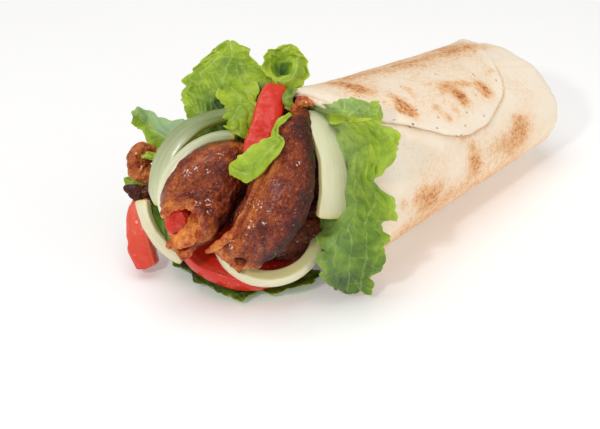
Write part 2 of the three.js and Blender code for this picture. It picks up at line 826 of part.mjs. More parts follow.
const fromRoll = heap.matrix.clone().invert();
const without = (solid, cutters) => cutters.reduce((left, cutter) => left.subtract(cutter), solid);
const cutters = [toSolid(grown(bread, GAP).applyMatrix4(fromRoll))];
const coreCutters = [toSolid(grown(bread, CORE_GAP).applyMatrix4(fromRoll))];
for (const [name, geometry, color, roughness] of filling) {
  const cut = without(toSolid(geometry), cutters);
  cutters.push(toSolid(grown(geometry, GAP)));
  coreCutters.push(toSolid(grown(geometry, CORE_GAP)), toSolid(geometry));
  heap.add(pieceMesh(name, largestPiece(cut), color, roughness));
}

const wholeCore = toSolid(packedMeat().applyMatrix4(fromRoll)).add(toSolid(moundOfMeat()));
heap.add(pieceMesh('meat_core', largestPiece(without(wholeCore, coreCutters)), MEAT_COLOR, 0.5));

// The origin goes to the middle of the underside's bounding box.
sandwich.updateMatrixWorld(true);
const box = new THREE.Box3().setFromObject(sandwich, true);
const middle = box.getCenter(new THREE.Vector3());
roll.position.set(-middle.x, -middle.y, -box.min.z);

export default sandwich;
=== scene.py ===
"""A doner kebab sandwich: a rolled flatbread on its side, its open end spilling shaved meat,
tomato, onion and lettuce. Shapes are worked out in millimetres and stored in metres."""

import math

import bpy
import numpy as np
from mathutils import Matrix, Vector


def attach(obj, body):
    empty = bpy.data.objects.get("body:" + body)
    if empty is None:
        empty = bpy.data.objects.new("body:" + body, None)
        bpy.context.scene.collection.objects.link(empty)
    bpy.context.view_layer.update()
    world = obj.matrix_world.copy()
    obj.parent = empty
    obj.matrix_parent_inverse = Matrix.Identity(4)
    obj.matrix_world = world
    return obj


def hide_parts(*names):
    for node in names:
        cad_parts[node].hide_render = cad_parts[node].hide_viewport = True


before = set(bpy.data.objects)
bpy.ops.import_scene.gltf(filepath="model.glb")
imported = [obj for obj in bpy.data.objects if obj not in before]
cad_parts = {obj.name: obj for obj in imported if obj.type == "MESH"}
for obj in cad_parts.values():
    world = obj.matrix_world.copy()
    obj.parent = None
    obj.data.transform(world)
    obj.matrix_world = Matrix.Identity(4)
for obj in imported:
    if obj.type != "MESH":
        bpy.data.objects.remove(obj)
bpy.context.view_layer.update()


# ------------------------------------------------------------------ the view of the sandwich
# The rolled bread lies along X. The heap of filling outside its mouth has a frame of its own:
# X across it, Y up it and Z out of its face. The camera looks straight at that face.

MM = 0.001  # metres in a millimetre
ROLL_PLACE = Matrix.Translation((-25.355, -12.444, 0))
HEAP_CENTRE = (-39, 12, 35)  # in the roll's frame
HEAP_TURN = -49.4  # degrees round the roll's Z
HEAP_LEAN = 58  # degrees that its face then tips forward from level
HEAP_PLACE = (
    ROLL_PLACE
    @ Matrix.Translation(HEAP_CENTRE)
    @ Matrix.Rotation(math.radians(HEAP_TURN), 4, "Z")
    @ Matrix.Rotation(math.radians(HEAP_LEAN), 4, "X")
)
CAMERA_PLACE = (24.07, -5.37, 617)  # in the heap's frame

lens = bpy.data.cameras.new("camera")
lens.lens = 100
lens.sensor_width = 36
lens.clip_start = 0.01
camera = bpy.data.objects.new("camera", lens)
bpy.context.scene.collection.objects.link(camera)
camera_place = HEAP_PLACE @ Matrix.Translation(CAMERA_PLACE)
camera_place.translation *= MM
camera.matrix_world = camera_place
bpy.context.scene.camera = camera
bpy.context.scene.view_settings.view_transform = "Standard"


# ------------------------------------------------------------------ studio light
# A bright white room: a large soft panel overhead, a small one at the front left that glints
# on what is wet, a wide one at the side, and light from all round that keeps shadows pale.

world = bpy.data.worlds.new("room")
world.use_nodes = True
room = world.node_tree.nodes["Background"]
room.inputs["Color"].default_value = (1, 0.99, 0.98, 1)
room.inputs["Strength"].default_value = 0.42
bpy.context.scene.world = world


def soft_panel(name, place, aim, size, power):
    """A square area light at a place, turned toward the point that it lights, in metres."""
    light = bpy.data.lights.new(name, "AREA")
    light.size = size
    light.energy = power
    panel = bpy.data.objects.new(name, light)
    panel.location = place
    panel.rotation_euler = (Vector(aim) - Vector(place)).to_track_quat("-Z", "Y").to_euler()
    bpy.context.scene.collection.objects.link(panel)


soft_panel("panel_over", place=(-0.14, 0.10, 0.95), aim=(0, 0, 0.03), size=0.8, power=3.9)
soft_panel("panel_front", place=(-0.62, -0.16, 0.50), aim=(-0.05, 0, 0.03), size=0.06, power=1.5)
soft_panel("panel_side", place=(0.28, -0.75, 0.35), aim=(0, 0, 0.03), size=0.6, power=1.7)


# ------------------------------------------------------------------ floor
# A plain pale table top, wide enough to fill every view. It isn't part of the sandwich.


def dye(red, green, blue):
    """A colour as a shader takes it, from its usual red, green and blue of 0 to 255: each goes
    through ((c / 255 + 0.055) / 1.055) ^ 2.4."""
    parts = [((part / 255 + 0.055) / 1.055) ** 2.4 for part in (red, green, blue)]
    return (*parts, 1)


class Wire:
    """A socket of a material's nodes. Shader maths is written with it as Python expressions."""

    def __init__(self, tree, end=None):
        self.tree = tree
        self.end = end

    def node(self, kind, settings=None, values=None, result=0):
        """Adds a node of a kind: its settings first, then the values or links of its sockets."""
        made = self.tree.nodes.new(kind)
        for name, setting in (settings or {}).items():
            if name == "stops":
                while len(made.color_ramp.elements) < len(setting):
                    made.color_ramp.elements.new(0.5)
                for element, (position, colour) in zip(made.color_ramp.elements, setting):
                    element.position = position
                    element.color = colour
            else:
                setattr(made, name, setting)
        for name, value in (values or {}).items():
            if isinstance(value, Wire):
                self.tree.links.new(value.end, made.inputs[name])
            else:
                made.inputs[name].default_value = value
        return Wire(self.tree, made.outputs[result])

    def maths(self, operation, first, second):
        return self.node("ShaderNodeMath", {"operation": operation}, {0: first, 1: second})

    def __add__(self, other):
        return self.maths("ADD", self, other)

    def __sub__(self, other):
        return self.maths("SUBTRACT", self, other)

    def __rsub__(self, other):
        return self.maths("SUBTRACT", other, self)

    def __mul__(self, other):
        return self.maths("MULTIPLY", self, other)

    __radd__ = __add__
    __rmul__ = __mul__

    def between(self, low, high):
        """0 below low, 1 above high, and a smooth rise between them."""
        settings = {"interpolation_type": "SMOOTHSTEP"}
        return self.node("ShaderNodeMapRange", settings, {"Value": self, 1: low, 2: high})

    def ramp(self, *stops):
        """The colour at this value on a scale of (place, colour) stops."""
        return self.node("ShaderNodeValToRGB", {"stops": stops}, {0: self})

    def blend(self, first, second):
        """The first colour where this is 0, the second where it is 1."""
        settings = {"data_type": "RGBA"}
        return self.node("ShaderNodeMix", settings, {0: self, 6: first, 7: second}, result=2)

    def mark(self, name):
        """A value that the piece's mesh carries at its points."""
        return self.node("ShaderNodeAttribute", {"attribute_name": name}, result=2)

    def fibres(self):
        """The places that a fibrous piece's mesh carries, drawn together along the piece."""
        return self.node("ShaderNodeAttribute", {"attribute_name": "fibres"}, result=1)

    def grain(self, size, detail, roughness=0.6, over=None):
        """Noise from 0 to 1 over Object coordinates, with lumps of a size in millimetres."""
        place = over or self.node("ShaderNodeTexCoord", result=3)
        values = {"Vector": place, "Scale": 1 / (size * MM), "Detail": detail}
        return self.node("ShaderNodeTexNoise", {}, {**values, "Roughness": roughness})

    def relief(self, depth, strength):
        """A bumpy normal whose height is this value times a depth in millimetres."""
        values = {"Height": self, "Distance": depth * MM, "Strength": strength}
        return self.node("ShaderNodeBump", {}, values)


def new_finish(name, links, **fixed):
    """A material with a Principled shader: fixed values on its sockets, and links by name that
    a function makes from the wire it is given."""
    material = bpy.data.materials.new(name)
    material.use_nodes = True
    shader = material.node_tree.nodes["Principled BSDF"]
    for socket, value in fixed.items():
        shader.inputs[socket.replace("_", " ")].default_value = value
    for socket, wire in links(Wire(material.node_tree)).items():
        material.node_tree.links.new(wire.end, shader.inputs[socket])
    return material


TABLE_SIZE = 6  # metres
TABLE_DROP = 0.0002  # metres that it lies below the bread, so that the two never share a plane


def table_top(wire):
    return {"Base Color": wire.grain(60, 2).blend(dye(249, 249, 249), dye(252, 252, 251))}


bpy.ops.mesh.primitive_plane_add(size=TABLE_SIZE, location=(0, 0, -TABLE_DROP))
floor = bpy.context.object
floor.name = "floor"
pale_table = new_finish(
    "pale_table", table_top,
    Roughness=0.7, Emission_Color=(1, 1, 1, 1), Emission_Strength=0.12,
)
floor.data.materials.append(pale_table)


# ------------------------------------------------------------------ rolled flatbread
# One thin soft flatbread, rolled up and lying on its side, tucked in at the far end. The roll is an
# oval tube about 2 mm thick whose mouth has an uneven edge. Dry, floury and pale, with peach and tan
# where it touched the griddle. A tan band low on the near side and a darker line under the loose
# turn's free edge are painted shade.

ROLL_LENGTH = 122.5
MOUTH_HALF_WIDTH = 36.4
TAIL_HALF_WIDTH = 31.9
MOUTH_HALF_HEIGHT = 34.1
TAIL_HALF_HEIGHT = 22.3
SAG = 0.97  # height of the tube's middle over its half height
TUCK_LENGTH = 14  # length over which the far end rounds in and closes
TUCK_POWER = 2.4  # squareness of that rounding
PLEATS = 9  # round the tucked end
PLEAT_DEPTH = 0.5
BREAD_THICKNESS = 2
BREAD_WAVE = 0.45  # depth of the bread's gentle dents
RIM_X = -5.7  # the mouth's edge
RIM_NOTCH = 5.2  # how far the edge draws back high on the far side
RIM_LIP = 8  # how far it reaches out low on the far side
RIM_NEAR_LIP = 7.5  # how far it reaches out on the near side
RIM_NEAR_ANGLE = -4  # where on the near side that lip has its middle
ARC = 0.6  # millimetres of bread for each degree round the roll

# Toasted spots: place along the roll, angle round it, half length along it, half width round
# it, turn in degrees and strength.
TOAST_SPOTS = [
    (14, 91, 3, 4.8, 4, 1), (12.5, 101, 3.2, 4, 0, 0.3), (17, 82, 3, 3, 0, 0.3),
    (23, 66, 1.6, 3.2, 0, 0.7), (23.8, 58.5, 2.4, 3.4, 0, 0.8), (19.3, 59, 1.5, 1.7, 0, 0.65),
    (22.6, 53.5, 1.6, 1.3, 0, 0.6), (55.4, 55, 2.2, 3.4, 0, 0.85), (55.3, 49.5, 2, 2, 0, 0.75),
    (60, 63, 7, 1.6, -18, 0.5), (52, 63, 3, 2.2, 0, 0.45), (71, 49, 2.6, 2.6, 0, 0.75),
    (71.5, 56, 2, 2.6, 0, 0.5), (40.5, 42, 1.4, 1.7, 0, 0.55), (38, 50, 1.6, 2.4, 0, 0.3),
    (84, 63.5, 3.6, 1.2, 0, 0.3), (47, 45, 1.4, 2.2, 0, 0.25), (34, 70, 2, 3, 0, 0.28),
    (83, 11, 5, 6, 0, 0.5), (84, 9, 8, 8, 0, 0.3), (79, -4, 6, 5, 0, 0.34),
    (69, 4, 8, 4, 0, 0.32), (48.5, 6, 4, 7, 0, 0.5), (50, -4, 5, 5, 0, 0.3),
    (19.5, -9, 4.4, 4, 0, 0.6), (24, -2.5, 4, 3, 0, 0.45), (11.5, 0, 3.4, 3, 0, 0.34),
    (16, -6, 8, 6, 0, 0.3), (1.2, 1, 2.2, 2, 0, 0.3), (36, -16, 9, 4, 0, 0.25),
    (101, 94, 6, 3.4, 0, 0.4), (88, 99, 8, 3, 0, 0.35), (60, 103, 14, 2.6, 0, 0.35),
    (34, 106, 13, 2.4, 3, 0.32), (48, 97, 9, 2, -6, 0.22),
    (34, 118, 9, 4, 20, 0.5), (62, 128, 6, 5, -20, 0.6), (18, 140, 7, 4, 10, 0.5),
    (90, 112, 6, 5, 30, 0.45), (46, 160, 8, 5, -10, 0.55), (78, 165, 5, 4, 0, 0.6),
    (24, 185, 6, 5, 25, 0.5), (100, 175, 6, 4, 0, 0.35), (60, 200, 9, 5, 15, 0.5),
    (30, 235, 8, 5, 0, 0.5), (84, 230, 7, 6, -15, 0.45), (50, 285, 9, 6, 10, 0.45),
]
# Painted shadow on the roll: a darker line along the loose turn's free edge, as places and angles.
FLAP_SHADOW_LINE = [(43, 26), (61, 27), (80, 42), (91, 66)]
# Tiny charred specks: place along the roll and angle round it.
CHAR_SPECKS = [
    (41, 28.6), (12, 54), (19, 47), (22, 62.5), (30, 39), (35, 45), (46, 33), (60, 34), (9, 78),
    (64, 50), (82, 55), (27, 55), (52, 41), (74, 66), (33, 76), (16, 68), (57, 77),
]
# Soft creases where the bread is pulled in toward its tucked end: places and angles.
CREASES = [
    [(84, 49), (90, 44), (98, 38.5), (109, 30.5), (117, 24)],
    [(93, 70), (101, 64), (111, 60)],
    [(98, 90), (106, 98), (115, 112)],
    [(94, -20), (104, -12), (115, -6)],
]


def mix(first, second, share):
    return first + (second - first) * share


def smooth(value):
    """0 below 0, 1 above 1, and 3v^2 - 2v^3 between."""
    value = np.clip(value, 0, 1)
    return value * value * (3 - 2 * value)


def bump(value, middle, reach):
    """A bump of height 1 at the middle, falling smoothly to 0 within a reach on both sides."""
    return smooth(1 - np.abs(value - middle) / reach)


def bell(value, width):
    """exp(-(v / w)^2): 1 at 0, falling off smoothly on both sides."""
    return np.exp(-((value / width) ** 2))


def rough(points, size, seed):
    """Random relief of about -1 to 1 that changes over a size: every corner of a lattice has
    a random slope g, and the eight values g . d round a point at distances d are blended with
    the ease 6f^5 - 15f^4 + 10f^3."""
    place = np.asarray(points) / size + 31.7 * seed
    corner = np.floor(place)
    inside = place - corner
    ease = inside**3 * (inside * (6 * inside - 15) + 10)
    corner = corner.astype(np.int64).astype(np.uint64)
    spread = np.array([73856093, 19349663, 83492791], np.uint64)
    total = 0
    for step in np.ndindex(2, 2, 2):
        mixed = (corner + np.array(step, np.uint64)) * spread
        key = mixed[..., 0] ^ mixed[..., 1] ^ mixed[..., 2]
        key = (key ^ (key >> np.uint64(13))) * np.uint64(1274126177)
        key = (key ^ (key >> np.uint64(17))) * np.uint64(2246822519)
        parts = [(key >> np.uint64(shift)) & np.uint64(1023) for shift in (5, 19, 33)]
        slope = np.stack(parts, -1).astype(float) / 511.5 - 1
        share = np.where(np.array(step) == 1, ease, 1 - ease).prod(-1)
        total = total + share * ((inside - np.array(step)) * slope).sum(-1)
    return 1.6 * total


def layered(points, size, layers, seed):
    """Rough relief plus the same at half the size and half the height, and so on."""
    return sum(rough(points, size / 2**k, seed + k) / 2**k for k in range(layers))


def on_plane(first, second):
    """Places (first, second, 0) from two grids of numbers that may differ in shape."""
    return np.stack([*np.broadcast_arrays(first, second, 0.0)], -1)


def wobble(values, size, seed):
    """Random relief of about -1 to 1 along a line, at the given places on it."""
    return rough(on_plane(values, 0), size, seed)


def on_bread(x, angle):
    """Places on the bread laid flat, in millimetres."""
    return on_plane(x, angle * ARC)


def lumps(points, size):
    """The solids' own gentle lumps: (sin(x + 1.3 sin y) + sin(1.1 y + 1.7 sin z) +
    sin(0.9 z + 1.1 sin x)) / 3 over the points divided by a size."""
    x, y, z = np.moveaxis(np.asarray(points) / size, -1, 0)
    rows = np.sin(x + 1.3 * np.sin(y)) + np.sin(1.1 * y + 1.7 * np.sin(z))
    return (rows + np.sin(0.9 * z + 1.1 * np.sin(x))) / 3


def curve(knots, t):
    """The point at share t of a smooth line through knots: between two of them a cubic, whose
    end slopes are the centripetal Catmull-Rom ones, with knots spaced by distance ^ 0.5."""
    knots = np.asarray(knots, float)
    ends = np.vstack([2 * knots[0] - knots[1], knots, 2 * knots[-1] - knots[-2]])
    place = np.clip(t, 0, 1) * (len(knots) - 1)
    step = np.minimum(place.astype(int), len(knots) - 2)
    share = (place - step)[..., None]
    a, b, c, d = (ends[step + i] for i in range(4))
    ab, bc, cd = (
        np.maximum(np.linalg.norm(q - p, axis=-1, keepdims=True), 1e-6) ** 0.5
        for p, q in ((a, b), (b, c), (c, d))
    )
    leaving = ((b - a) / ab - (c - a) / (ab + bc) + (c - b) / bc) * bc
    arriving = ((c - b) / bc - (d - b) / (bc + cd) + (d - c) / cd) * bc
    square = 3 * (c - b) - 2 * leaving - arriving
    cube = 2 * (b - c) + leaving + arriving
    return b + share * (leaving + share * (square + share * cube))


def unit(vectors):
    return vectors / np.maximum(np.linalg.norm(vectors, axis=-1, keepdims=True), 1e-9)


def normals(grid):
    """Unit normals of a grid of points: (change along the rows) x (change along the columns)."""
    along, across = np.gradient(grid, axis=0), np.gradient(grid, axis=1)
    return unit(np.cross(along, across))


def outward(grid):
    """The same, turned outward, for a tube's grid, whose last column joins its first."""
    return -normals(np.concatenate([grid[:, -2:], grid, grid[:, :2]], 1))[:, 2:-2]


def with_poles(values):
    """A tube grid's values as rows, then the means of its first and last rows for its poles."""
    poles = np.stack([values[0].mean(0), values[-1].mean(0)]).reshape(2, -1)
    return np.vstack([values.reshape(values.shape[0] * values.shape[1], -1), poles])


def tube(grid, marks):
    """A closed tube from a grid of points and the marks over it: rows along it, columns round
    it, one pole a side."""
    rows, columns = grid.shape[:2]
    here = np.arange(rows * columns).reshape(rows, columns)
    beside = np.roll(here, -1, axis=1)
    faces = np.stack([here[:-1], beside[:-1], beside[1:], here[1:]], -1).reshape(-1, 4).tolist()
    first, last = rows * columns, rows * columns + 1
    faces += np.stack([beside[0], here[0], np.full(columns, first)], -1).tolist()
    faces += np.stack([here[-1], beside[-1], np.full(columns, last)], -1).tolist()
    return with_poles(grid), faces, {name: with_poles(values) for name, values in marks.items()}


def slab(upper, lower, marks):
    """A closed slab between two grids of points, with marks that are alike on both: the two
    faces, and a band round their border."""
    rows, columns = upper.shape[:2]
    here = np.arange(rows * columns).reshape(rows, columns)
    top = np.stack([here[:-1, :-1], here[1:, :-1], here[1:, 1:], here[:-1, 1:]], -1)
    top = top.reshape(-1, 4)
    under = top[:, ::-1] + rows * columns
    border = np.concatenate([here[:-1, 0], here[-1, :-1], here[:0:-1, -1], here[0, :0:-1]])
    following = np.roll(border, -1)
    lowered = border + rows * columns
    band = np.stack([border, lowered, np.roll(lowered, -1), following], -1)
    faces = np.vstack([top, under, band]).tolist()
    doubled = {name: np.tile(values.reshape(-1, 1), (2, 1)) for name, values in marks.items()}
    return np.vstack([upper.reshape(-1, 3), lower.reshape(-1, 3)]), faces, doubled


def faces_out(points, faces):
    """The faces, turned round if the volume they enclose, the sum of p0 . (p1 x p2) over the
    triangles, is negative."""
    three = np.array([face[:3] for face in faces])
    back = np.array([(face[0], face[-2], face[-1]) for face in faces])
    volume = 0
    for corners in (three, back[np.array([len(face) == 4 for face in faces])]):
        a, b, c = (points[corners[:, i]] for i in range(3))
        volume += np.einsum("ij,ij", a, np.cross(b, c))
    return [face[::-1] for face in faces] if volume < 0 else faces


def make_piece(name, form, finish, node, place=HEAP_PLACE):
    """A mesh piece from a tube or slab in millimetres in its own frame: what would sink into
    the table lies flat on it. It rides on the sandwich's one body and stands for its CAD node,
    if any."""
    points, faces, marks = form
    turned = points @ np.array(place.to_3x3()).T + np.array(place.translation)
    turned[:, 2] = np.maximum(turned[:, 2], 0)
    mesh = bpy.data.meshes.new(name)
    mesh.from_pydata(turned * MM, [], faces_out(points, faces))
    mesh.polygons.foreach_set("use_smooth", np.ones(len(faces), bool))
    for mark, values in marks.items():
        flat = values.shape[-1] == 1
        layer = mesh.attributes.new(mark, "FLOAT" if flat else "FLOAT_VECTOR", "POINT")
        layer.data.foreach_set("value" if flat else "vector", values.astype(np.float32).ravel())
    mesh.materials.append(finish)
    mesh.update()
    piece = bpy.data.objects.new(name, mesh)
    bpy.context.scene.collection.objects.link(piece)
    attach(piece, "root")
    if node:
        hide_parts(node)


def roll_point(x, angle, depth):
    """A point of the roll at a place along it, an angle round it and a depth below its
    outside: an ellipse (-w cos a, h sin a), flattened below z = depth, whose size closes as
    (1 - s^2.4)^(1 / 2.4) over the tuck."""
    along = np.clip(x / ROLL_LENGTH, 0, 1)
    tuck = np.clip((x + depth - ROLL_LENGTH + TUCK_LENGTH) / TUCK_LENGTH, 0, 1)
    closing = (1 - tuck**TUCK_POWER) ** (1 / TUCK_POWER)
    half_width = mix(MOUTH_HALF_WIDTH, TAIL_HALF_WIDTH, along) - depth
    full_height = mix(MOUTH_HALF_HEIGHT, TAIL_HALF_HEIGHT, along)
    turn = np.radians(angle)
    across = -half_width * closing * np.cos(turn)
    up = SAG * full_height + (full_height - depth) * closing * np.sin(turn)
    return np.stack([x + 0 * across, across, np.maximum(up, np.maximum(depth, 0))], -1)


def rim_x(angle):
    """The mouth's edge: it draws back high on the far side, and reaches out low on the far
    side and all down the near side."""
    nearness = smooth((np.cos(np.radians(angle - RIM_NEAR_ANGLE)) - 0.5) / 0.35)
    far = RIM_NOTCH * bump(angle, 128, 38) - RIM_LIP * bump(angle, 235, 70)
    return RIM_X + far - RIM_NEAR_LIP * nearness


def free_side(angle):
    """1 over most of the roll, 0 along the strip that it rests on."""
    return smooth((np.sin(np.radians(angle)) + 1) / 0.6)


def dents(x, angle):
    """The bread's gentle dents, up to 0.45 mm deep."""
    place = np.stack(np.broadcast_arrays(x, angle / 2.2, x / 3), -1)
    return -BREAD_WAVE * free_side(angle) * (1 + lumps(place, 11)) / 2


def near_line(x, angle, line):
    """Distance in millimetres from each place on the bread to a line of places."""
    place = np.stack([x, angle * ARC], -1)
    line = np.array(line, float) * (1, ARC)
    nearest = np.full(x.shape, 99.0)
    for a, b in zip(line[:-1], line[1:]):
        share = np.clip(((place - a) @ (b - a)) / ((b - a) @ (b - a)), 0, 1)
        gap = np.linalg.norm(place - a - share[..., None] * (b - a), axis=-1)
        nearest = np.minimum(nearest, gap)
    return nearest


def toast(x, angle):
    """How strongly the bread is toasted, 0 to 1, with painted shade in it: a tan band low on the near
    side, which is painted shade, and oval toasted spots, each with a faint halo. A spot's fall-off,
    1.7 less the distance over its half sizes, is made ragged by two sizes of noise."""
    place = on_bread(x, angle)
    ragged = 0.5 * rough(place, 3.4, 5) + 0.4 * rough(place, 1.3, 6)
    # Painted shade: a tan band low on the near side.
    band = bump(angle, -36, 28) * smooth((x + 14) / 20)
    total = 0.42 * band * (1 + 0.7 * ragged)
    for middle, middle_angle, length, width, turn, strength in TOAST_SPOTS:
        slope = math.radians(turn)
        out = x - middle
        up = (np.mod(angle - middle_angle + 180, 360) - 180) * ARC
        first = (out * math.cos(slope) + up * math.sin(slope)) / length
        second = (up * math.cos(slope) - out * math.sin(slope)) / width
        distance = np.hypot(first, second)
        spot = smooth((1.7 - distance + 0.6 * ragged) / 1.7) * (1 + 0.6 * ragged)
        halo = 0.3 * smooth(1.2 - distance / 2.6)
        total = total + strength * (spot + halo)
    return np.clip(total, 0, 1)


def charred(x, angle):
    """1 in the tiny charred specks."""
    total = 0 * (x + angle)
    for middle, middle_angle in CHAR_SPECKS:
        gap = np.hypot(x - middle, (angle - middle_angle) * ARC)
        total = total + smooth((0.55 - gap) / 0.35)
    return total


def bread_skin(x, angle, seed):
    """Fine relief of the bread's face in millimetres: bubbles, pits and the tail's creases."""
    place = on_bread(x, angle)
    height = 0.2 * rough(place, 9, seed) + 0.1 * rough(place, 3.2, seed + 1)
    height = height + 0.04 * layered(place, 1.2, 2, seed + 2)
    for line in CREASES:
        gap = near_line(x, angle, line)
        height = height - 0.5 * bell(gap, 1.5) + 0.35 * bell(gap, 4)
    return height * free_side(angle)


def flatbread_finish(wire):
    """Cream bread, peach and granular where it is warm, tan to brown where it is toasted and where
    shade is painted.
    """
    toasted_and_shaded = wire.mark("toast")
    warm = wire.mark("warm")
    grain = wire.grain(1.5, 4, 0.7)
    patch = wire.grain(4.5, 3, 0.6)
    crumb = grain.between(0.42, 0.64)
    heat_and_shade = toasted_and_shaded * (0.42 + 0.4 * crumb) + warm * (0.10 + 0.22 * crumb) * (0.4 + 1.2 * patch)
    heat_and_shade = heat_and_shade + wire.grain(13, 3).between(0.5, 0.8) * 0.05
    colour = heat_and_shade.ramp(
        (0, dye(250, 235, 214)), (0.12, dye(247, 222, 192)), (0.3, dye(238, 193, 147)),
        (0.55, dye(225, 163, 106)), (0.8, dye(202, 129, 74)), (1, dye(164, 94, 50)),
    )
    flour = wire.grain(3, 4, 0.7).between(0.54, 0.7) * (1 - toasted_and_shaded)
    colour = (flour * 0.45).blend(colour, dye(252, 245, 232))
    speck = wire.grain(0.8, 1, 0.4).between(0.70, 0.78)
    colour = (speck * 0.5).blend(colour, dye(168, 128, 92))
    colour = (wire.mark("char") * 0.9).blend(colour, dye(66, 34, 20))
    bumps = (grain * 0.5 + wire.grain(0.5, 2)).relief(0.16, 0.6)
    return {"Base Color": colour, "Roughness": 0.82 - 0.25 * toasted_and_shaded * grain, "Normal": bumps}


bread_finish = new_finish(
    "toasted_flatbread", flatbread_finish,
    Subsurface_Weight=0.15, Subsurface_Radius=(0.9, 0.6, 0.35), Subsurface_Scale=0.003,
)


def bread_roll():
    """The roll: rows from the tucked pole outside to the mouth, round its edge, then back to a
    pole inside. The edge and the inside are evenly pale."""
    angle = np.linspace(-90, 270, 300, endpoint=False)[None]
    rim = rim_x(np.where(angle < 0, angle + 360, angle))
    rim = rim + 0.35 * np.sin(angle / 9) * free_side(angle)
    tuck_start = ROLL_LENGTH - TUCK_LENGTH
    straight = mix(rim, tuck_start, np.linspace(0, 1, 190)[:, None])
    closing = np.sin(np.linspace(0, math.pi / 2, 26)[1:-1, None]) ** (2 / TUCK_POWER)
    x = np.vstack([straight, tuck_start + TUCK_LENGTH * closing + 0 * rim])
    angles = angle + 0 * x
    relief = dents(x, angles) + bread_skin(x, angles, 20)
    tucked = np.clip((x - tuck_start) / TUCK_LENGTH, 0, 1)
    pleat = PLEAT_DEPTH * np.sin(PLEATS * np.radians(angles) + 2 * wobble(angles, 40, 0))
    outside = roll_point(x, angles, -relief - tucked * pleat)
    depth = np.array([0.3, 1.0, 1.7])[:, None]
    lip_x = rim - 0.9 * np.sqrt(1 - (depth - 1) ** 2)
    lip = roll_point(lip_x, angle + 0 * lip_x, depth + 0 * lip_x)
    inside_share = np.array([0, 0.03, 0.07, 0.12, 0.2, 0.3, 0.5, 0.75, 1])[:, None]
    inside_x = mix(rim, ROLL_LENGTH - 7, inside_share)
    inner_relief = 0.15 * rough(on_bread(inside_x, angle), 4, 9)
    inside = roll_point(inside_x, angle + 0 * inside_x, BREAD_THICKNESS - inner_relief)
    warm = 0.2 + 0.5 * bump(angles, -30, 40) + 0.5 * smooth((angles - 80) / 20)
    warm = warm + 0.5 * rough(on_bread(x, angles), 16, 8)
    warm = warm * mix(1, 0.4, smooth((x - 88) / 20))
    # The darker line along the loose turn's free edge is painted shadow.
    toasted_and_shaded = toast(x, angles) + 0.4 * bell(near_line(x, angles, FLAP_SHADOW_LINE), 1.4)
    hidden = np.ones((len(lip) + len(inside), angle.shape[1]))
    marks = {
        "toast": np.concatenate([np.clip(toasted_and_shaded, 0, 1)[::-1], 0.04 * hidden]),
        "warm": np.concatenate([warm[::-1], 0.1 * hidden]),
        "char": np.concatenate([charred(x, angles)[::-1], 0 * hidden]),
    }
    return tube(np.concatenate([outside[::-1], lip, inside]), marks)


make_piece("bread_roll", bread_roll(), bread_finish, "flatbread", ROLL_PLACE)


# ------------------------------------------------------------------ flatbread's loose turn
# The outer turn of the same bread wraps over the top and lies on the roll. Its free edge runs
# along the near side and curves up to the back; it stands off a little, and its corner at the
# mouth sticks up. Its face is the most toasted, paler along the free edge.

# The free edge, as places along the roll, angles round it and 0.
FLAP_EDGE = [
    (-5, 66, 0), (5, 58, 0), (26, 40, 0), (43, 27.5, 0), (61, 29, 0),
    (80, 44, 0), (91, 68, 0), (99, 88, 0), (110, 118, 0),
]
FLAP_ROOT_ANGLE = 150
FLAP_THICKNESS = 1.7
FLAP_LIFT = 1.1  # how far the free edge stands off the turn below
FLAP_SINK = 0.8  # how deep its lower face sits in the turn below
CORNER_LIFT = 0.5  # how far its corner at the mouth stands up
CORNER_ANGLE = 112


def rounded(share, reach):
    """How much of a sheet's thickness is left within a reach of its border, which rounds off:
    sqrt(1 - (1 - s / r)^2)."""
    return np.sqrt(np.clip(1 - (1 - np.clip(share / reach, 0, 1)) ** 2, 0.02, 1))


def bread_flap():
    """A slab over the roll, whose rows run from its free edge to its root on the far side."""
    u = np.linspace(0, 1, 240)[:, None]
    v = np.linspace(0, 1, 130)[None] ** 1.35
    edge = curve(FLAP_EDGE, u + 0 * v)
    edge_x = edge[..., 0]
    scallop = 1.1 * wobble(edge_x, 7, 2) + 0.35 * wobble(edge_x, 2, 3)
    edge_angle = edge[..., 1] + scallop * smooth(u / 0.08) * smooth(1 - v / 0.15)
    angle = mix(edge_angle, FLAP_ROOT_ANGLE, v)
    root_x = mix(rim_x(angle) + 0.2, ROLL_LENGTH - 5, u)
    x = mix(edge_x, root_x, smooth(v))
    lift = FLAP_LIFT * bump(u, 0.34, 0.3) * smooth(1 - v / 0.12) * (1 + 0.5 * wobble(x, 11, 4))
    lift = lift + CORNER_LIFT * bump(angle, CORNER_ANGLE, 36) * smooth(1 - (x - RIM_X) / 28)
    body = rounded(v, 0.02) * rounded(u, 0.012)
    top = mix(FLAP_THICKNESS - 0.2, -0.2, smooth(v)) + lift + dents(x, angle)
    top = top + bread_skin(x, angle, 40)
    bottom = lift + dents(x, angle) - mix(0.1, FLAP_SINK, smooth(v / 0.2))
    middle = mix(top, bottom, 0.65)
    upper = roll_point(x, angle, -mix(middle, top, body))
    lower = roll_point(x, angle, -mix(middle, bottom, body))
    from_edge = (angle - edge_angle) * ARC
    warm = smooth((from_edge - 2) / 9) * mix(0.5, 1.1, smooth((angle - 70) / 30))
    warm = warm * smooth((x - rim_x(angle) - 2) / 10)
    warm = 0.12 + warm * (0.9 + 0.6 * rough(on_bread(x, angle), 13, 8))
    toasted_and_shaded = toast(x, angle) * smooth(from_edge / 1.5)
    return slab(upper, lower, {"toast": toasted_and_shaded, "warm": warm, "char": charred(x, angle)})


make_piece("bread_flap", bread_flap(), bread_finish, "flatbread", ROLL_PLACE)


# ------------------------------------------------------------------ shaved meat
# Slices shaved off a roasting spit, rolled and torn by the knife: dense and finely streaked
# along their length, browned and wet with fat outside, orange-brown where they tore.


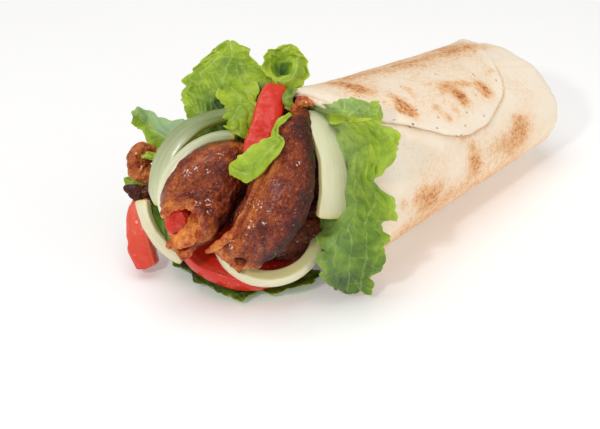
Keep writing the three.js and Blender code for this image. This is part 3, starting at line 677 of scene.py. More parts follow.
def full_turn(columns):
    """Angles once round, for a grid's columns."""
    return np.linspace(0, 2 * math.pi, columns, endpoint=False)[None]


def along_spine(spine, t):
    """The spine's points at the shares t, its heading, a level side at a right angle to that,
    and the side out of both."""
    centre = curve(spine, t)
    heading = unit(curve(spine, t + 0.001) - curve(spine, t - 0.001))
    level = unit(np.stack([-heading[..., 1], heading[..., 0], 0 * heading[..., 0]], -1))
    return centre, heading, level, np.cross(heading, level)


def chunk_grid(spine, half_widths, half_depths, rows, columns):
    """Points of a chunk along a spine: c(t) + w(t) cos a X(t) + d(t) sin a Y(t), with X level
    and at a right angle to the spine, and Y out of both. Both ends round off as
    sqrt(1 - |2t - 1|^26). Returns the points, the share t, the turn a, the spine's points, its
    heading and the fibres' places: the section's two sizes and a third of the distance along,
    so that noise over them is drawn out along the piece."""
    t = (0.5 - 0.5 * np.cos(np.linspace(0, math.pi, rows)))[:, None]
    t = 0.35 * t + 0.65 * np.linspace(0, 1, rows)[:, None]
    turn = full_turn(columns)
    centre, heading, level, out = along_spine(spine, t)
    sizes = np.stack([half_widths, half_depths, np.zeros(len(half_widths))], -1)
    size = curve(sizes, t) * ((1 - np.abs(2 * t - 1) ** 26) ** 0.5)[..., None]
    level_side, out_side = size[..., 0] * np.cos(turn), size[..., 1] * np.sin(turn)
    points = centre + level * level_side[..., None] + out * out_side[..., None]
    length = np.linalg.norm(np.diff(centre[:, 0], axis=0), axis=1).sum()
    fibres = np.stack([level_side, out_side, length / 3 * t + 0 * turn], -1)
    return points, t + 0 * turn, turn + 0 * t, centre, heading, fibres


def moist(points, seed, gloss_and_glint_places):
    """0.7 in the patches that are wet with fat, 0 where dry, and up to 1.1 at the given places (x, y,
    radius), which are glossier and where the finish paints highlights."""
    wet = 0.7 * smooth((rough(points, 5.5, seed + 12) + 0.05) / 0.3)
    for x, y, radius in gloss_and_glint_places:
        gap = np.hypot(points[..., 0] - x, points[..., 1] - y)
        wet = np.maximum(wet, 1.1 * bell(gap, radius))
    return wet


def meat_relief(points, fibres, seed, wet):
    """Grain of roasted meat in millimetres: soft folds and lumps, with fibres and pores that
    the fat fills where it is wet."""
    folds = 0.4 * rough(points, 8, seed) + 0.4 * rough(points, 3.6, seed + 1)
    pores = np.clip(rough(points, 1.4, seed + 8) - 0.32, 0, 1)
    grain = 0.34 * layered(fibres, 2, 2, seed + 3) - 0.6 * pores
    return folds + grain * (1 - 0.75 * wet) + 0.16 * wet * rough(points, 1.7, seed + 9)


def glazed_meat(wire):
    """Browned outside in streaks of dark, red-brown and tawny; torn flesh orange; low places painted
    dark as shade; wet with fat in patches, with painted highlights in near-white specks where it is
    wettest."""
    torn, dark, tawny = wire.mark("torn"), wire.mark("dark"), wire.mark("tawny")
    wet = wire.mark("wet")
    fibres = wire.fibres()
    patch = wire.grain(6, 4, 0.62)
    streak = wire.grain(1.3, 4, 0.7, fibres)
    grain = wire.grain(0.8, 3, 0.75)
    speckle = grain.between(0.36, 0.64)
    tone = 0.56 * patch + 0.36 * streak + 0.16 * speckle - 0.24 * dark + 0.22 * tawny
    tone = tone + 0.17 - 0.05 * wet
    colour = tone.ramp(
        (0.42, dye(40, 8, 7)), (0.56, dye(80, 20, 11)), (0.68, dye(118, 40, 14)),
        (0.8, dye(154, 68, 20)), (0.95, dye(196, 112, 44)),
    )
    flesh = (patch * 0.6 + grain * 0.4).between(0.38, 0.62)
    flesh = flesh.blend(dye(176, 58, 16), dye(242, 150, 66))
    colour = (torn * (0.5 + 0.8 * patch)).blend(colour, flesh)
    # Painted shade: low places in the relief are darkened.
    colour = (wire.mark("hollow") * 0.85).blend(colour, dye(34, 9, 5))
    fat = wire.grain(1.3, 2, 0.5).between(0.66, 0.74)
    colour = (fat * 0.4).blend(colour, dye(230, 176, 132))
    # Painted highlights: near-white specks where the meat is wettest stand in for glints.
    painted_glints = wire.grain(0.9, 2, 0.55).between(0.52, 0.64) * wet.between(0.74, 0.95)
    colour = (painted_glints * 0.75).blend(colour, dye(255, 230, 210))
    dry = 1 - wet * 0.8
    bumps = ((streak * 0.4 + grain + wire.grain(1.6, 1, 0.5)) * dry).relief(0.55, 0.85)
    return {"Base Color": colour, "Roughness": 0.5 - 0.36 * wet, "Normal": bumps}


meat_finish = new_finish(
    "glazed_meat", glazed_meat,
    Subsurface_Weight=0.06, Subsurface_Radius=(1, 0.35, 0.2), Subsurface_Scale=0.002,
    Specular_IOR_Level=0.36,
)


def meat_marks(fibres, relief, torn, dark, tawny, wet=0):
    """The meat's marks: its fibres, torn, dark, tawny and wet as given, and the painted shade of the
    places where it is low."""
    marks = {"torn": torn, "dark": dark, "tawny": tawny, "wet": wet, "hollow": -relief - 0.4}
    marks = {name: smooth(values + 0 * relief) for name, values in marks.items()}
    return {**marks, "fibres": (fibres + 0 * relief[..., None]) * MM}


def grooves(t, turn, places, sway, sways):
    """Depth of the grooves along a piece, in millimetres. Each place is a turn round the piece,
    a start and an end along it, a width and a depth; the groove sways as it goes."""
    total = 0 * (t + turn)
    for side, start, end, width, depth in places:
        inside = smooth((t - start) / 0.1) * smooth((end - t) / 0.1)
        total = total + depth * inside * bump(turn, side + sway * np.sin(sways * t + side), width)
    return total


# On the long chunk: its places of gloss with painted highlights, grooves, the knob on its jaw and the
# hole at its end.
CHUNK_GLOSS_AND_GLINTS = [
    (8.9, -2.1, 3), (13, -4, 1.5), (6.5, -9, 3), (11, -8.5, 2), (0.3, -16, 2.6),
    (23.6, 12.7, 1.6), (5, -13, 1.6),
]
CHUNK_GROOVES = [
    (2.36, 0.3, 0.84, 0.13, 0.6), (1.75, 0.12, 0.5, 0.12, 0.5), (1.1, 0.35, 0.8, 0.14, 0.4),
    (2.0, 0.66, 0.95, 0.14, 0.7),
]
KNOB = (1.6, -17.6, 18.5)
HOLE = (2.8, -22.2, 16)
HOLE_HALF_SIZES = (2.4, 1.7, 4)
HOLE_DEPTH = 3.4


def long_chunk():
    """The long leaning chunk: a raised, tawny rim along its left side, a narrow waist, a torn
    jaw that juts at its lower left, grooves along its face and a small hole at its end."""
    points, t, turn, centre, heading, fibres = chunk_grid(
        spine=[
            [25, 34, -3], [22.5, 24, 8], [20.5, 13, 14], [16, 0, 18], [10, -12, 17], [3.5, -24, 12],
        ],
        half_widths=[2.5, 6.2, 9.3, 12, 10.6, 4.8], half_depths=[2.5, 6.2, 8.6, 10, 8.5, 4.3],
        rows=240, columns=220,
    )
    left = bump(turn, math.pi, 0.5)
    spur = 0.4 * left * bump(t, 0.93, 0.08)
    waist = 0.2 * bump(turn, 2.9, 0.9) * bump(t, 0.66, 0.24)
    jaw = 0.55 * bump(turn, 3.5, 1.4) * smooth((t - 0.87) / 0.09)
    points = centre + (points - centre) * (1 + 0.1 * left + 1.1 * spur - waist + jaw)[..., None]
    points = points + heading * (5 * spur + 6 * jaw)[..., None]
    wet = moist(points, 50, CHUNK_GLOSS_AND_GLINTS) * (1 - 0.8 * bump(turn, 0.2, 1))
    relief = meat_relief(points, fibres, 50, wet) - grooves(t, turn, CHUNK_GROOVES, 0.15, 7)
    rim = bump(turn, 2.62 + 0.12 * np.sin(9 * t), 0.16)
    rim = rim * smooth((t - 0.22) / 0.1) * smooth((0.9 - t) / 0.06)
    tip = smooth((t - 0.9) / 0.08)
    relief = relief + rim + 0.7 * tip * rough(points, 2.2, 71)
    relief = relief + 2.1 * bell(np.linalg.norm(points - KNOB, axis=-1), 3.6)
    x, y = points[..., 0], points[..., 1]
    relief = relief - 1.1 * bell(x - 9.5 + 0.1 * y, 1.5) * smooth((-4 - y) / 8)
    hole = smooth((1.3 - np.linalg.norm((points - HOLE) / HOLE_HALF_SIZES, axis=-1)) / 0.5)
    points = points + outward(points) * (relief - HOLE_DEPTH * hole)[..., None]
    torn = 0.5 * rim + 0.7 * tip + 0.9 * spur + 0.3 * bump(t, 0.1, 0.12) - 1.2 * hole
    dark = 0.9 * bump(turn, 0.3, 1.1) + 0.7 * bump(t, 0.2, 0.25) * bump(turn, 1.3, 1)
    tawny = 0.8 * rim + 0.75 * bump(turn, 2.2, 0.55) * smooth((t - 0.25) / 0.2)
    # The hole's depth is added to the mark of low places, painting it dark as shade.
    return tube(points, meat_marks(fibres, relief - 2 * hole, torn, dark, tawny, wet))


# On the rolled slice: its places of gloss with painted highlights, and grooves.
SLICE_GLOSS_AND_GLINTS = [
    (-16.5, 9.5, 2.4), (-13.5, 11.5, 2), (-12.5, -1.8, 2.2), (-9, -1, 2), (-5, 15.5, 2.2),
    (-9, 10.5, 1.4), (-8.5, -4.5, 1.5),
]
SLICE_GROOVES = [
    (1.1, 0.3, 0.8, 0.2, 0.45), (1.9, 0.2, 0.7, 0.18, 0.45), (0.4, 0.3, 0.9, 0.2, 0.45),
]


def rolled_slice():
    """The rolled slice, an open cup: rows run down the outside to the torn rim, over it, and
    back up inside. The rim's left is torn away, and a tongue of it reaches out below."""
    spine = [
        [4, 18, -8], [-1, 14.5, 1], [-7, 9, 7], [-12.5, 1, 9], [-15.5, -5, 12.5], [-18, -9.5, 19.5],
    ]
    sizes = [(3, 3, 0), (8.2, 6.5, 0), (12, 9.5, 0), (13.4, 10.5, 0), (12.8, 10, 0), (9.5, 9.5, 0)]
    down = np.linspace(0, 1, 200)
    over = np.linspace(0, math.pi, 14)[1:-1]
    back = np.linspace(1, 0.68, 50)
    t = np.concatenate([down, 1 + 0 * over, back])[:, None]
    inner = np.concatenate([0 * down, 0.5 - 0.5 * np.cos(over), 1 + 0 * back])[:, None]
    bulge = np.concatenate([0 * down, 0.8 * np.sin(over), 0 * back])[:, None]
    turn = full_turn(230)
    centre, heading, level, out = along_spine(spine, t)
    size = curve(sizes, t) * smooth((t + 0.02) / 0.05)[..., None]
    wall = 2.7 + 0.7 * np.sin(turn * 2 + 1) + 0.5 * np.sin(turn * 5)
    shrink = inner * wall + 2 * (1 - t) / 0.3 * (inner > 0.99)
    near_rim = smooth((t - 0.85) / 0.15)
    tongue = near_rim * bump(turn, 5.1, 0.55)
    ring = np.stack([3 * np.cos(turn), 3 * np.sin(turn), 0 * turn], -1)
    ragged = 1.3 * np.sin(3 * turn + 0.4) + 0.8 * np.sin(7 * turn + 1.9)
    ragged = ragged + 1.1 * rough(ring, 0.8, 3) + 0.6 * rough(ring, 0.3, 4)
    torn_away = 7.5 * smooth((t - 0.6) / 0.4) * bump(turn, 4.0, 0.95)
    swell = 1 + 0.05 * near_rim * np.sin(5 * turn) + 0.45 * tongue
    level_side = (size[..., 0] - shrink) * np.cos(turn) * swell
    out_side = (size[..., 1] - shrink) * np.sin(turn) * swell
    fibres = np.stack([level_side, out_side, 16 * t + 0 * turn], -1)
    points = centre + level * level_side[..., None] + out * out_side[..., None]
    points = points + heading * (near_rim * ragged + tongue - torn_away + bulge)[..., None]
    wet = moist(points, 90, SLICE_GLOSS_AND_GLINTS)
    relief = meat_relief(points, fibres, 90, wet) * (1 - 0.3 * inner)
    relief = relief - grooves(t, turn, SLICE_GROOVES, 0.2, 8) * (1 - inner)
    torn = smooth((t - 0.88 + 0.04 * ragged) / 0.1) * 0.6 + 0.9 * inner + 0.5 * tongue
    torn = torn + 0.9 * bump(turn, 3.3, 0.6) * smooth((t - 0.66) / 0.15)
    torn = torn * (0.75 + 0.6 * rough(points, 3, 7)) + 0.9 * bump(t, 0.08, 0.2)
    relief = relief + 0.7 * smooth(torn) * rough(points, 1.8, 72)
    points = points + outward(points) * relief[..., None]
    dark = 0.65 * bump(turn, 0.1, 0.9) * smooth((t - 0.2) / 0.3) * (1 - inner)
    tawny = 0.5 * bump(turn, 2.3, 0.6) + 0.3 * inner
    return tube(points, meat_marks(fibres, relief, torn, dark, tawny, wet))


def scrap(spine, half_widths, half_depths, rows, columns, seed, dark, torn, relief, gloss_and_glint_places=()):
    """A small scrap of meat, a plain chunk whose relief and lumps are of the given strength."""
    points, *_, fibres = chunk_grid(spine, half_widths, half_depths, rows, columns)
    wet = moist(points, seed, gloss_and_glint_places)
    height = meat_relief(points, fibres, seed, wet) + 0.4 * rough(points, 2.6, seed + 20)
    height = relief * (height + 0.4 * torn * rough(points, 1.5, seed + 21))
    points = points + outward(points) * height[..., None]
    return tube(points, meat_marks(fibres, height, torn, dark, 0, wet))


make_piece("long_chunk", long_chunk(), meat_finish, "meat_right")
make_piece("rolled_slice", rolled_slice(), meat_finish, "meat_left")

# Each scrap: its CAD node and its sizes; some have places of gloss with painted highlights.
SCRAPS = {
    "lower_chunk": ("meat_lower", dict(
        spine=[[34, -2, -6], [29, -8, -3.5], [20, -14.5, 0], [9, -18.5, 1.5]],
        half_widths=[5, 7, 7.5, 3.5], half_depths=[3.5, 4, 4, 2.5], rows=130, columns=110,
        seed=110, dark=0.55, torn=0.2, relief=0.9, gloss_and_glint_places=[(29, -13, 1.3), (23.5, -15.5, 1.1)],
    )),
    "torn_lip": ("meat_left", dict(
        spine=[
            [-12.4, -3.5, 16.5], [-13.4, -9, 19.6], [-16.2, -13.2, 20.2], [-20.6, -15.4, 19],
            [-24.4, -16.6, 17],
        ],
        half_widths=[2.4, 3.2, 3.4, 2.8, 1.2], half_depths=[1.6, 1.5, 1.5, 1.3, 0.8],
        rows=110, columns=70, seed=125, dark=0, torn=1, relief=1.0,
    )),
    "shard": ("meat_right", dict(
        spine=[[2.4, -10.8, 20.5], [-1.5, -13.6, 18.5], [-5.5, -16.4, 16], [-10, -19, 13.5]],
        half_widths=[1.8, 1.9, 1.5, 0.7], half_depths=[1.6, 1.3, 1, 0.6], rows=90, columns=60,
        seed=128, dark=0, torn=0.8, relief=0.7,
    )),
    "curled_scrap": ("meat_curl", dict(
        spine=[
            [-29, 5, -22], [-32, 10, -19], [-37, 11, -17], [-38.5, 16, -17], [-35, 18.5, -18],
            [-31, 15, -20],
        ],
        half_widths=[2, 3.4, 4, 3.8, 3.8, 2.4], half_depths=[1.6, 2.2, 2.8, 2.6, 2.6, 1.6],
        rows=130, columns=90, seed=120, dark=0.2, torn=0.6, relief=1.7,
        gloss_and_glint_places=[(-37.5, 17.5, 1.4), (-33, 18, 1.2), (-36, 12.5, 1.2)],
    )),
    "dark_flake": ("meat_flake", dict(
        spine=[[-29, 1, -21], [-35, 2.5, -17], [-39, 3.5, -16], [-43, 5, -15]],
        half_widths=[2, 3.8, 3, 0.8], half_depths=[1.2, 1.1, 0.9, 0.5], rows=80, columns=60,
        seed=130, dark=1, torn=0.1, relief=0.7,
    )),
    "scrap_stem": (None, dict(
        spine=[[-33, 11, -17.5], [-32.6, 7, -17], [-32, 3, -17.5]],
        half_widths=[1.6, 1.2, 1.8], half_depths=[1.2, 1, 1.2], rows=50, columns=40,
        seed=132, dark=0.3, torn=0.5, relief=0.9,
    )),
    "torn_bit": ("meat_bit_top", dict(
        spine=[[24, 29, -3], [22.5, 33.5, 1.5], [25, 36.5, 4], [29, 34.5, 3.5]],
        half_widths=[1.6, 1.7, 2.1, 1.3], half_depths=[1.4, 1.5, 1.7, 1], rows=100, columns=70,
        seed=140, dark=0.1, torn=0.75, relief=1.7, gloss_and_glint_places=[(23.5, 33.5, 1), (26.5, 36, 0.9)],
    )),
}
for name, (node, sizes) in SCRAPS.items():
    make_piece(name, scrap(**sizes), meat_finish, node)


# ------------------------------------------------------------------ packed meat
# The meat packed through the roll and heaped behind the pieces in front: a rough mound joined to a
# plug that fills the bread's mouth. It shows between the pieces as shreds coloured dark, which is
# painted shade of the gaps.

MOUND_CENTRE = (3, 2, -20)
MOUND_HALF_SIZES = (24, 21, 14)
PLUG_DEPTH = 3.2  # below the bread's outside
# The plug's places along the roll, and how much deeper than that it lies there.
PLUG_ROUNDING = [
    (-15.5, 20), (-15, 16), (-12, 12), (-8, 8), (-5, 5), (0, 2.6), (6, 1), (110, 0),
]


def mound():
    """A sphere's grid scaled to the mound's half sizes, with deep shred relief."""
    polar = np.linspace(0.02, math.pi - 0.02, 120)[:, None]
    turn = full_turn(200)
    ring = [np.sin(polar) * np.cos(turn), np.sin(polar) * np.sin(turn), np.cos(polar) + 0 * turn]
    ball = np.stack(ring, -1)
    points = ball * MOUND_HALF_SIZES + MOUND_CENTRE
    relief = 1.4 * layered(points * (1, 0.45, 0.6), 3.4, 3, 150)
    points = points + ball * relief[..., None]
    # Dark 0.8 is painted shade: the mound fills the gaps between the pieces.
    return tube(points, meat_marks(points * (1, 0.2, 1), relief, 0.2, 0.8, 0))


def mouth_plug():
    """The roll's own oval a little inside the bread, rounded off toward the mouth."""
    last = len(PLUG_ROUNDING) - 1
    share = np.concatenate([np.linspace(0, last - 1, 56), np.linspace(last - 1, last, 8)[1:]])
    columns = zip(*PLUG_ROUNDING)
    x, deeper = (np.interp(share, range(last + 1), column)[:, None] for column in columns)
    angle = np.linspace(-90, 270, 180, endpoint=False)[None]
    points = roll_point(x + 0 * angle, angle + 0 * x, PLUG_DEPTH + deeper + 0 * angle)
    relief = 0.9 * layered(points * (0.6, 1, 1), 3.4, 3, 160)
    points = points + unit(points - (20, 0, 33)) * (relief - 0.7)[..., None]
    # Dark 0.8 is painted shade inside the bread's mouth.
    return tube(points, meat_marks(points * (0.2, 1, 1), relief, 0.2, 0.8, 0))


make_piece("meat_mound", mound(), meat_finish, "meat_core")
make_piece("meat_plug", mouth_plug(), meat_finish, "meat_core", ROLL_PLACE)


# ------------------------------------------------------------------ tomato
# Ripe tomato: one round slice about 8 mm thick with its cut face up and out, two wedges with
# the skin on, and a bit inside the open meat roll. Wet flesh, smooth skin.


def ripe_tomato(wire):
    """Skin deep red and even; flesh mottled and finely grained, pale where marked; pale specks all
    over are painted highlights.
    """
    flesh = wire.mark("flesh")
    patch = wire.grain(5, 3, 0.6)
    grain = wire.grain(1.2, 3, 0.6)
    skin = patch.blend(dye(206, 30, 18), dye(226, 52, 30))
    cut = (patch * 0.5 + grain * 0.5).blend(dye(186, 18, 12), dye(228, 58, 34))
    colour = flesh.blend(skin, cut)
    colour = (wire.mark("pale") * (0.5 + grain * 0.5)).blend(colour, dye(238, 124, 96))
    # Painted highlights: pale specks scattered over skin and flesh.
    speck = wire.grain(1.5, 1, 0.4).between(0.68, 0.74)
    colour = (speck * 0.35).blend(colour, dye(250, 170, 130))
    bumps = (grain * flesh + wire.grain(3.4, 2)).relief(0.35, 0.6)
    return {"Base Color": colour, "Roughness": 0.16 + 0.2 * patch, "Normal": bumps}


tomato_finish = new_finish(
    "ripe_tomato", ripe_tomato,
    Subsurface_Weight=0.2, Subsurface_Radius=(1, 0.25, 0.12), Subsurface_Scale=0.003,
    Specular_IOR_Level=0.35,
)

SLICE_RADIUS = 28
SLICE_HALF_THICKNESS = 4
SLICE_PLACE = (4, -8, -14)
SLICE_TILT = math.radians(60)
SLICE_CORNER = 0.8  # radius of its cut edge
SKIN_BOW = 0.3  # how far its skin bows out between the cut edges
SEED_CHAMBERS = 6


def tomato_slice():
    """A profile (r, z) carried round an axis: flat faces with sunken seed chambers, a rounded
    cut edge and a bowed skin."""
    radius, half, corner = SLICE_RADIUS, SLICE_HALF_THICKNESS, SLICE_CORNER
    flat_radius = radius - corner - SKIN_BOW
    face = np.linspace(0.02, 1, 60) * flat_radius
    round_off = np.linspace(0, math.pi / 2, 8)[1:-1]
    side = np.linspace(-1, 1, 20)
    profile_r = np.concatenate([
        face, flat_radius + corner * np.sin(round_off), radius - SKIN_BOW * side**2,
        flat_radius + corner * np.cos(round_off), face[::-1],
    ])
    profile_z = np.concatenate([
        0 * face + half, half - corner + corner * np.cos(round_off), -side * (half - corner),
        -half + corner - corner * np.sin(round_off), 0 * face - half,
    ])
    turn = full_turn(240)
    r, z = profile_r[:, None] + 0 * turn, profile_z[:, None] + 0 * turn
    lobe = 1 + 0.012 * np.sin(5 * turn + 1) * (r / radius) ** 2
    arms = np.abs(((turn / (2 * math.pi) * SEED_CHAMBERS + 0.2) % 1) - 0.5) * 2
    chamber = smooth((arms * r - 4) / 2.5) * smooth((r - 6) / 2) * smooth((21.5 - r) / 1.2)
    flat = np.stack([r * lobe * np.cos(turn), z, r * lobe * np.sin(turn)], -1)
    on_face = (np.abs(z) > half - 0.3) * smooth((radius - 0.5 - r) / 1.2)
    relief = 0.16 * rough(flat, 3.5, 170) + 0.08 * rough(flat, 1.3, 171) - 0.5 * chamber
    flat[..., 1] += np.sign(z) * on_face * relief
    y = flat[..., 1] * math.cos(SLICE_TILT) - flat[..., 2] * math.sin(SLICE_TILT)
    out = flat[..., 1] * math.sin(SLICE_TILT) + flat[..., 2] * math.cos(SLICE_TILT)
    points = np.stack([flat[..., 0], y, out], -1) + SLICE_PLACE
    pale = on_face * (0.35 * bump(r, 26, 1.6) + 0.2 * chamber)
    return tube(points, {"flesh": 1.0 * on_face, "pale": pale})


def tomato_wedge(spine, half_widths, half_depths, cut_turn, seed, paleness):
    """A chunk with a squarish section: the oval's radius grows by 1 / (|cos a|^4 +
    |sin a|^4)^(1/4) toward its corners. Round the cut turn it is flesh, elsewhere skin."""
    points, t, turn, centre, *_ = chunk_grid(spine, half_widths, half_depths, 120, 120)
    square = turn - cut_turn
    corners = (np.abs(np.cos(square)) ** 4 + np.abs(np.sin(square)) ** 4) ** (-1 / 4)
    points = centre + (points - centre) * (0.97 * corners)[..., None]
    relief = 0.5 * rough(points, 4, seed) + 0.1 * rough(points, 1.8, seed + 1)
    points = points + outward(points) * relief[..., None]
    flesh = smooth((np.cos(square) - 0.62) / 0.12)
    pale = 0.4 * bump(np.cos(square), 0.66, 0.14) + paleness * (1 - 0.7 * t)
    return tube(points, {"flesh": flesh, "pale": pale})


make_piece("round_slice", tomato_slice(), tomato_finish, "tomato_slice")

# Each wedge: its CAD node and its sizes.
WEDGES = {
    "top_wedge": ("tomato_top", dict(
        spine=[[15.5, 42.5, -10], [13.8, 37.5, -5], [12, 30, 1], [9.3, 22.5, 6], [6, 15, 9]],
        half_widths=[3.6, 5.3, 5.4, 4.9, 4.2], half_depths=[2.6, 3.8, 4, 3.6, 2.6],
        cut_turn=3.2, seed=180, paleness=0.1,
    )),
    "left_wedge": ("tomato_left", dict(
        spine=[[-36, 2, -22], [-37.3, -8, -18], [-36, -18, -17.5], [-33.5, -25.5, -18]],
        half_widths=[3, 4.6, 5, 4.4], half_depths=[4.5, 5.5, 4.8, 3.6],
        cut_turn=0.2, seed=184, paleness=0.85,
    )),
    "inner_bit": ("tomato_inside", dict(
        spine=[[-15.5, -3.5, 10], [-18.8, -6.3, 13.5], [-21.3, -7.8, 17.5]],
        half_widths=[3.4, 5, 4.6], half_depths=[3.2, 5, 4.6],
        cut_turn=1.2, seed=188, paleness=0.3,
    )),
}
for name, (node, sizes) in WEDGES.items():
    make_piece(name, tomato_wedge(**sizes), tomato_finish, node)


# ------------------------------------------------------------------ onion
# Raw onion: rings and parts of rings, each one fleshy layer of the bulb cut square. Milky and
# translucent with fine lines along it, yellower at the edges; the two upper strips at the left
# turn green toward their far ends.


def raw_onion(wire):
    """Milky flesh with pale lines, green or stained by the meat's juice where marked, and
    yellow-green at the edges."""
    line = wire.mark("line")
    cloud = wire.grain(8, 3, 0.5)
    green = wire.mark("green")
    colour = cloud.blend(dye(226, 227, 186), dye(240, 239, 205))
    colour = green.blend(colour, dye(98, 120, 34))
    colour = (line * (0.2 - 0.16 * green)).blend(colour, dye(250, 250, 236))
    colour = wire.mark("stain").blend(colour, dye(206, 148, 98))
    colour = (wire.mark("edge") * 0.72).blend(colour, dye(208, 196, 88))
    speck = wire.grain(2.2, 1, 0.3).between(0.72, 0.78)
    colour = (speck * 0.2).blend(colour, dye(170, 150, 90))
    bumps = (line * 0.3 + wire.grain(1.5, 3)).relief(0.05, 0.4)
    return {"Base Color": colour, "Roughness": 0.32 + 0.1 * cloud, "Normal": bumps}


onion_finish = new_finish(
    "raw_onion", raw_onion,
    Subsurface_Weight=0.3, Subsurface_Radius=(1, 1, 0.6), Subsurface_Scale=0.003,
    Coat_Weight=0.15, Coat_Roughness=0.15,
)

ONION_CORNER = 0.4  # radius of a band's four corners


def oblong(half_long, half_short):
    """The outline of an oblong round whose corners a circle runs: each point of the plain
    oblong is drawn to within the corner's radius of the oblong that is smaller by it."""
    long_side, short_side = np.linspace(-1, 1, 34), np.linspace(1, -1, 12)[1:-1]
    level = 1 + 0 * short_side
    p = np.concatenate([long_side, level, -long_side, -level]) * half_long
    q = np.concatenate([1 + 0 * long_side, short_side, -1 - 0 * long_side, -short_side])
    q = q * half_short
    corner = np.minimum(ONION_CORNER, half_short * 0.9)
    inner_p = np.clip(p, corner - half_long, half_long - corner)
    inner_q = np.clip(q, corner - half_short, half_short - corner)
    reach = corner / np.maximum(np.hypot(p - inner_p, q - inner_q), 1e-6)
    return inner_p + (p - inner_p) * reach, inner_q + (q - inner_q) * reach


def onion_band(centre, axis, start, sweep, radius, heights, wall, green, stain, lean=0):
    """A band round an axis: at the angle s, in degrees, its middle is c + r (X cos s +
    Y sin s), and its section is an oblong, bowed outward and leaned toward the middle, as high
    as the even run of heights says. Green holds how green its two long edges are, its far end
    is and how late that comes; stain holds how stained its start and its far end are."""
    share = np.linspace(0, 1, 180)[:, None]
    up = unit(np.array(axis, float))
    right = unit(np.array([1, 0, 0]) - up * up[0])
    top = np.cross(up, right)
    turn = np.radians(start + sweep * share)[..., None]
    from_axis = right * np.cos(turn) + top * np.sin(turn)
    tip = math.radians(lean)
    long_side = up * math.cos(tip) - from_axis * math.sin(tip)
    short_side = from_axis * math.cos(tip) + up * math.sin(tip)
    ends = np.sqrt(np.clip(1 - np.abs(2 * share - 1) ** 70, 0.03, 1))
    waver = 1 + 0.05 * np.sin(share * 9 + radius) + 0.03 * np.sin(share * 23)
    half_long = np.interp(share * (len(heights) - 1), range(len(heights)), heights) / 2
    half_long = half_long * waver * ends
    half_short = wall / 2 * ends
    p, q = oblong(half_long, half_short)
    across, side = p / half_long, q / half_short
    bow = 0.22 * wall * (0.6 - across**2) * ends
    points = np.array(centre, float) + from_axis * radius
    points = points + long_side * p[..., None] + short_side * (q + bow)[..., None]
    length = share * abs(math.radians(sweep)) * radius
    line = smooth(0.5 + 1.3 * rough(on_plane(length / 14, p + 9 * np.sign(side)), 0.75, 200))
    points = points + outward(points) * (0.08 * rough(points, 4, 201))[..., None]
    cut_end = 0.9 * smooth((np.abs(2 * share - 1) - 0.86) / 0.14)
    edge = np.maximum(smooth((np.abs(across) - 0.9) / 0.1) * (0.35 + 0.3 * across), cut_end)
    low, high, end, power = green
    greens = mix(low, high, 0.5 + 0.5 * across)
    greens = np.clip(mix(greens, end, share**power), 0, 1)
    stains = mix(stain[0], stain[1], share) * (1 + 0.5 * rough(points, 5, 202))
    marks = {"edge": edge, "line": line * np.abs(side), "green": greens, "stain": stains}
    return tube(points, marks)


# Each band: its CAD node and its sizes.
BANDS = {
    "wide_band": ("onion_right", dict(
        centre=[20.5, 4, -15.8], axis=[-0.87, 0, 0.5], start=-20, sweep=82, radius=32,
        heights=(11.5, 11), wall=2.6, green=(0.34, 0.1, 0, 1), stain=(0.16, 0),
    )),
    "bottom_ring": ("onion_bottom", dict(
        centre=[12.3, -13.3, -3.2], axis=[0, 0.5, 0.87], start=196, sweep=169, radius=18.3,
        heights=(6, 6), wall=4.2, green=(0.02, 0, 0.15, 2), stain=(0.12, 0.08),
    )),
    "outer_strip": ("onion_left_outer", dict(
        centre=[-1, 4, -9], axis=[0.1, -0.1, 1], start=192, sweep=-102, radius=28,
        heights=(3.2, 7.8, 8.4, 8, 7.6, 7.2, 6.6, 6, 5.4, 5), wall=2.8, lean=62,
        green=(0.34, 0, 1.15, 1), stain=(0, 0),
    )),
    "inner_strip": ("onion_left_inner", dict(
        centre=[-2, -1, -4.5], axis=[0.1, -0.1, 1], start=193, sweep=-108, radius=24.8,
        heights=(1.6, 4, 4.7, 4.6, 4.4, 4.2, 4.1, 4, 3.9, 3.8), wall=2.8, lean=55,
        green=(0, 0, 0.85, 1.9), stain=(0, 0),
    )),
    "low_strip": ("onion_left_low", dict(
        centre=[-9, 2, -13], axis=[0.05, 0.05, 1], start=184, sweep=62, radius=26.5,
        heights=(4.8, 4.8), wall=3, lean=60, green=(0, 0, 0.05, 1), stain=(0.16, 0.14),
    )),
}
for name, (node, sizes) in BANDS.items():
    make_piece(name, onion_band(**sizes), onion_finish, node)


# ------------------------------------------------------------------ lettuce
# Frilly green lettuce: thin quilted leaves with lobed, ruffled margins and fine pale veins that fan
# out from the base. Yellow-green at the margins, and bluish where a leaf shows its back. The leaves
# deep in the heap and under it are coloured darker as painted shade.

LEAF_THICKNESS = 0.7
MARGIN_THICKNESS = 0.3


def cell_edges(x, y, size, seed):
    """How near each place is to an edge between random cells, 0 on the edge: the distance to
    the second nearest cell middle less that to the nearest."""
    middles = np.random.default_rng(seed).random((64, 64, 2))
    place = np.stack(np.broadcast_arrays(x, y), -1) / size
    home = np.floor(place).astype(int)
    gaps = []
    for step in np.ndindex(3, 3):
        cell = home + np.array(step) - 1
        middle = cell + 0.05 + 0.9 * middles[cell[..., 0] % 64, cell[..., 1] % 64]
        gaps.append(np.linalg.norm(place - middle, axis=-1))
    gaps = np.sort(np.stack(gaps, -1), axis=-1)
    return (gaps[..., 1] - gaps[..., 0]) * size


def lobes(place, size, seed):
    """Round lobes with notches between them, -0.65 to 0.35: |sin(pi s)|^0.8 - 0.65 over the
    place divided by a size, with the lobes' widths made uneven."""
    share = place / size + 0.5 * wobble(place, 2.2 * size, seed)
    return np.abs(np.sin(math.pi * share)) ** 0.8 - 0.65


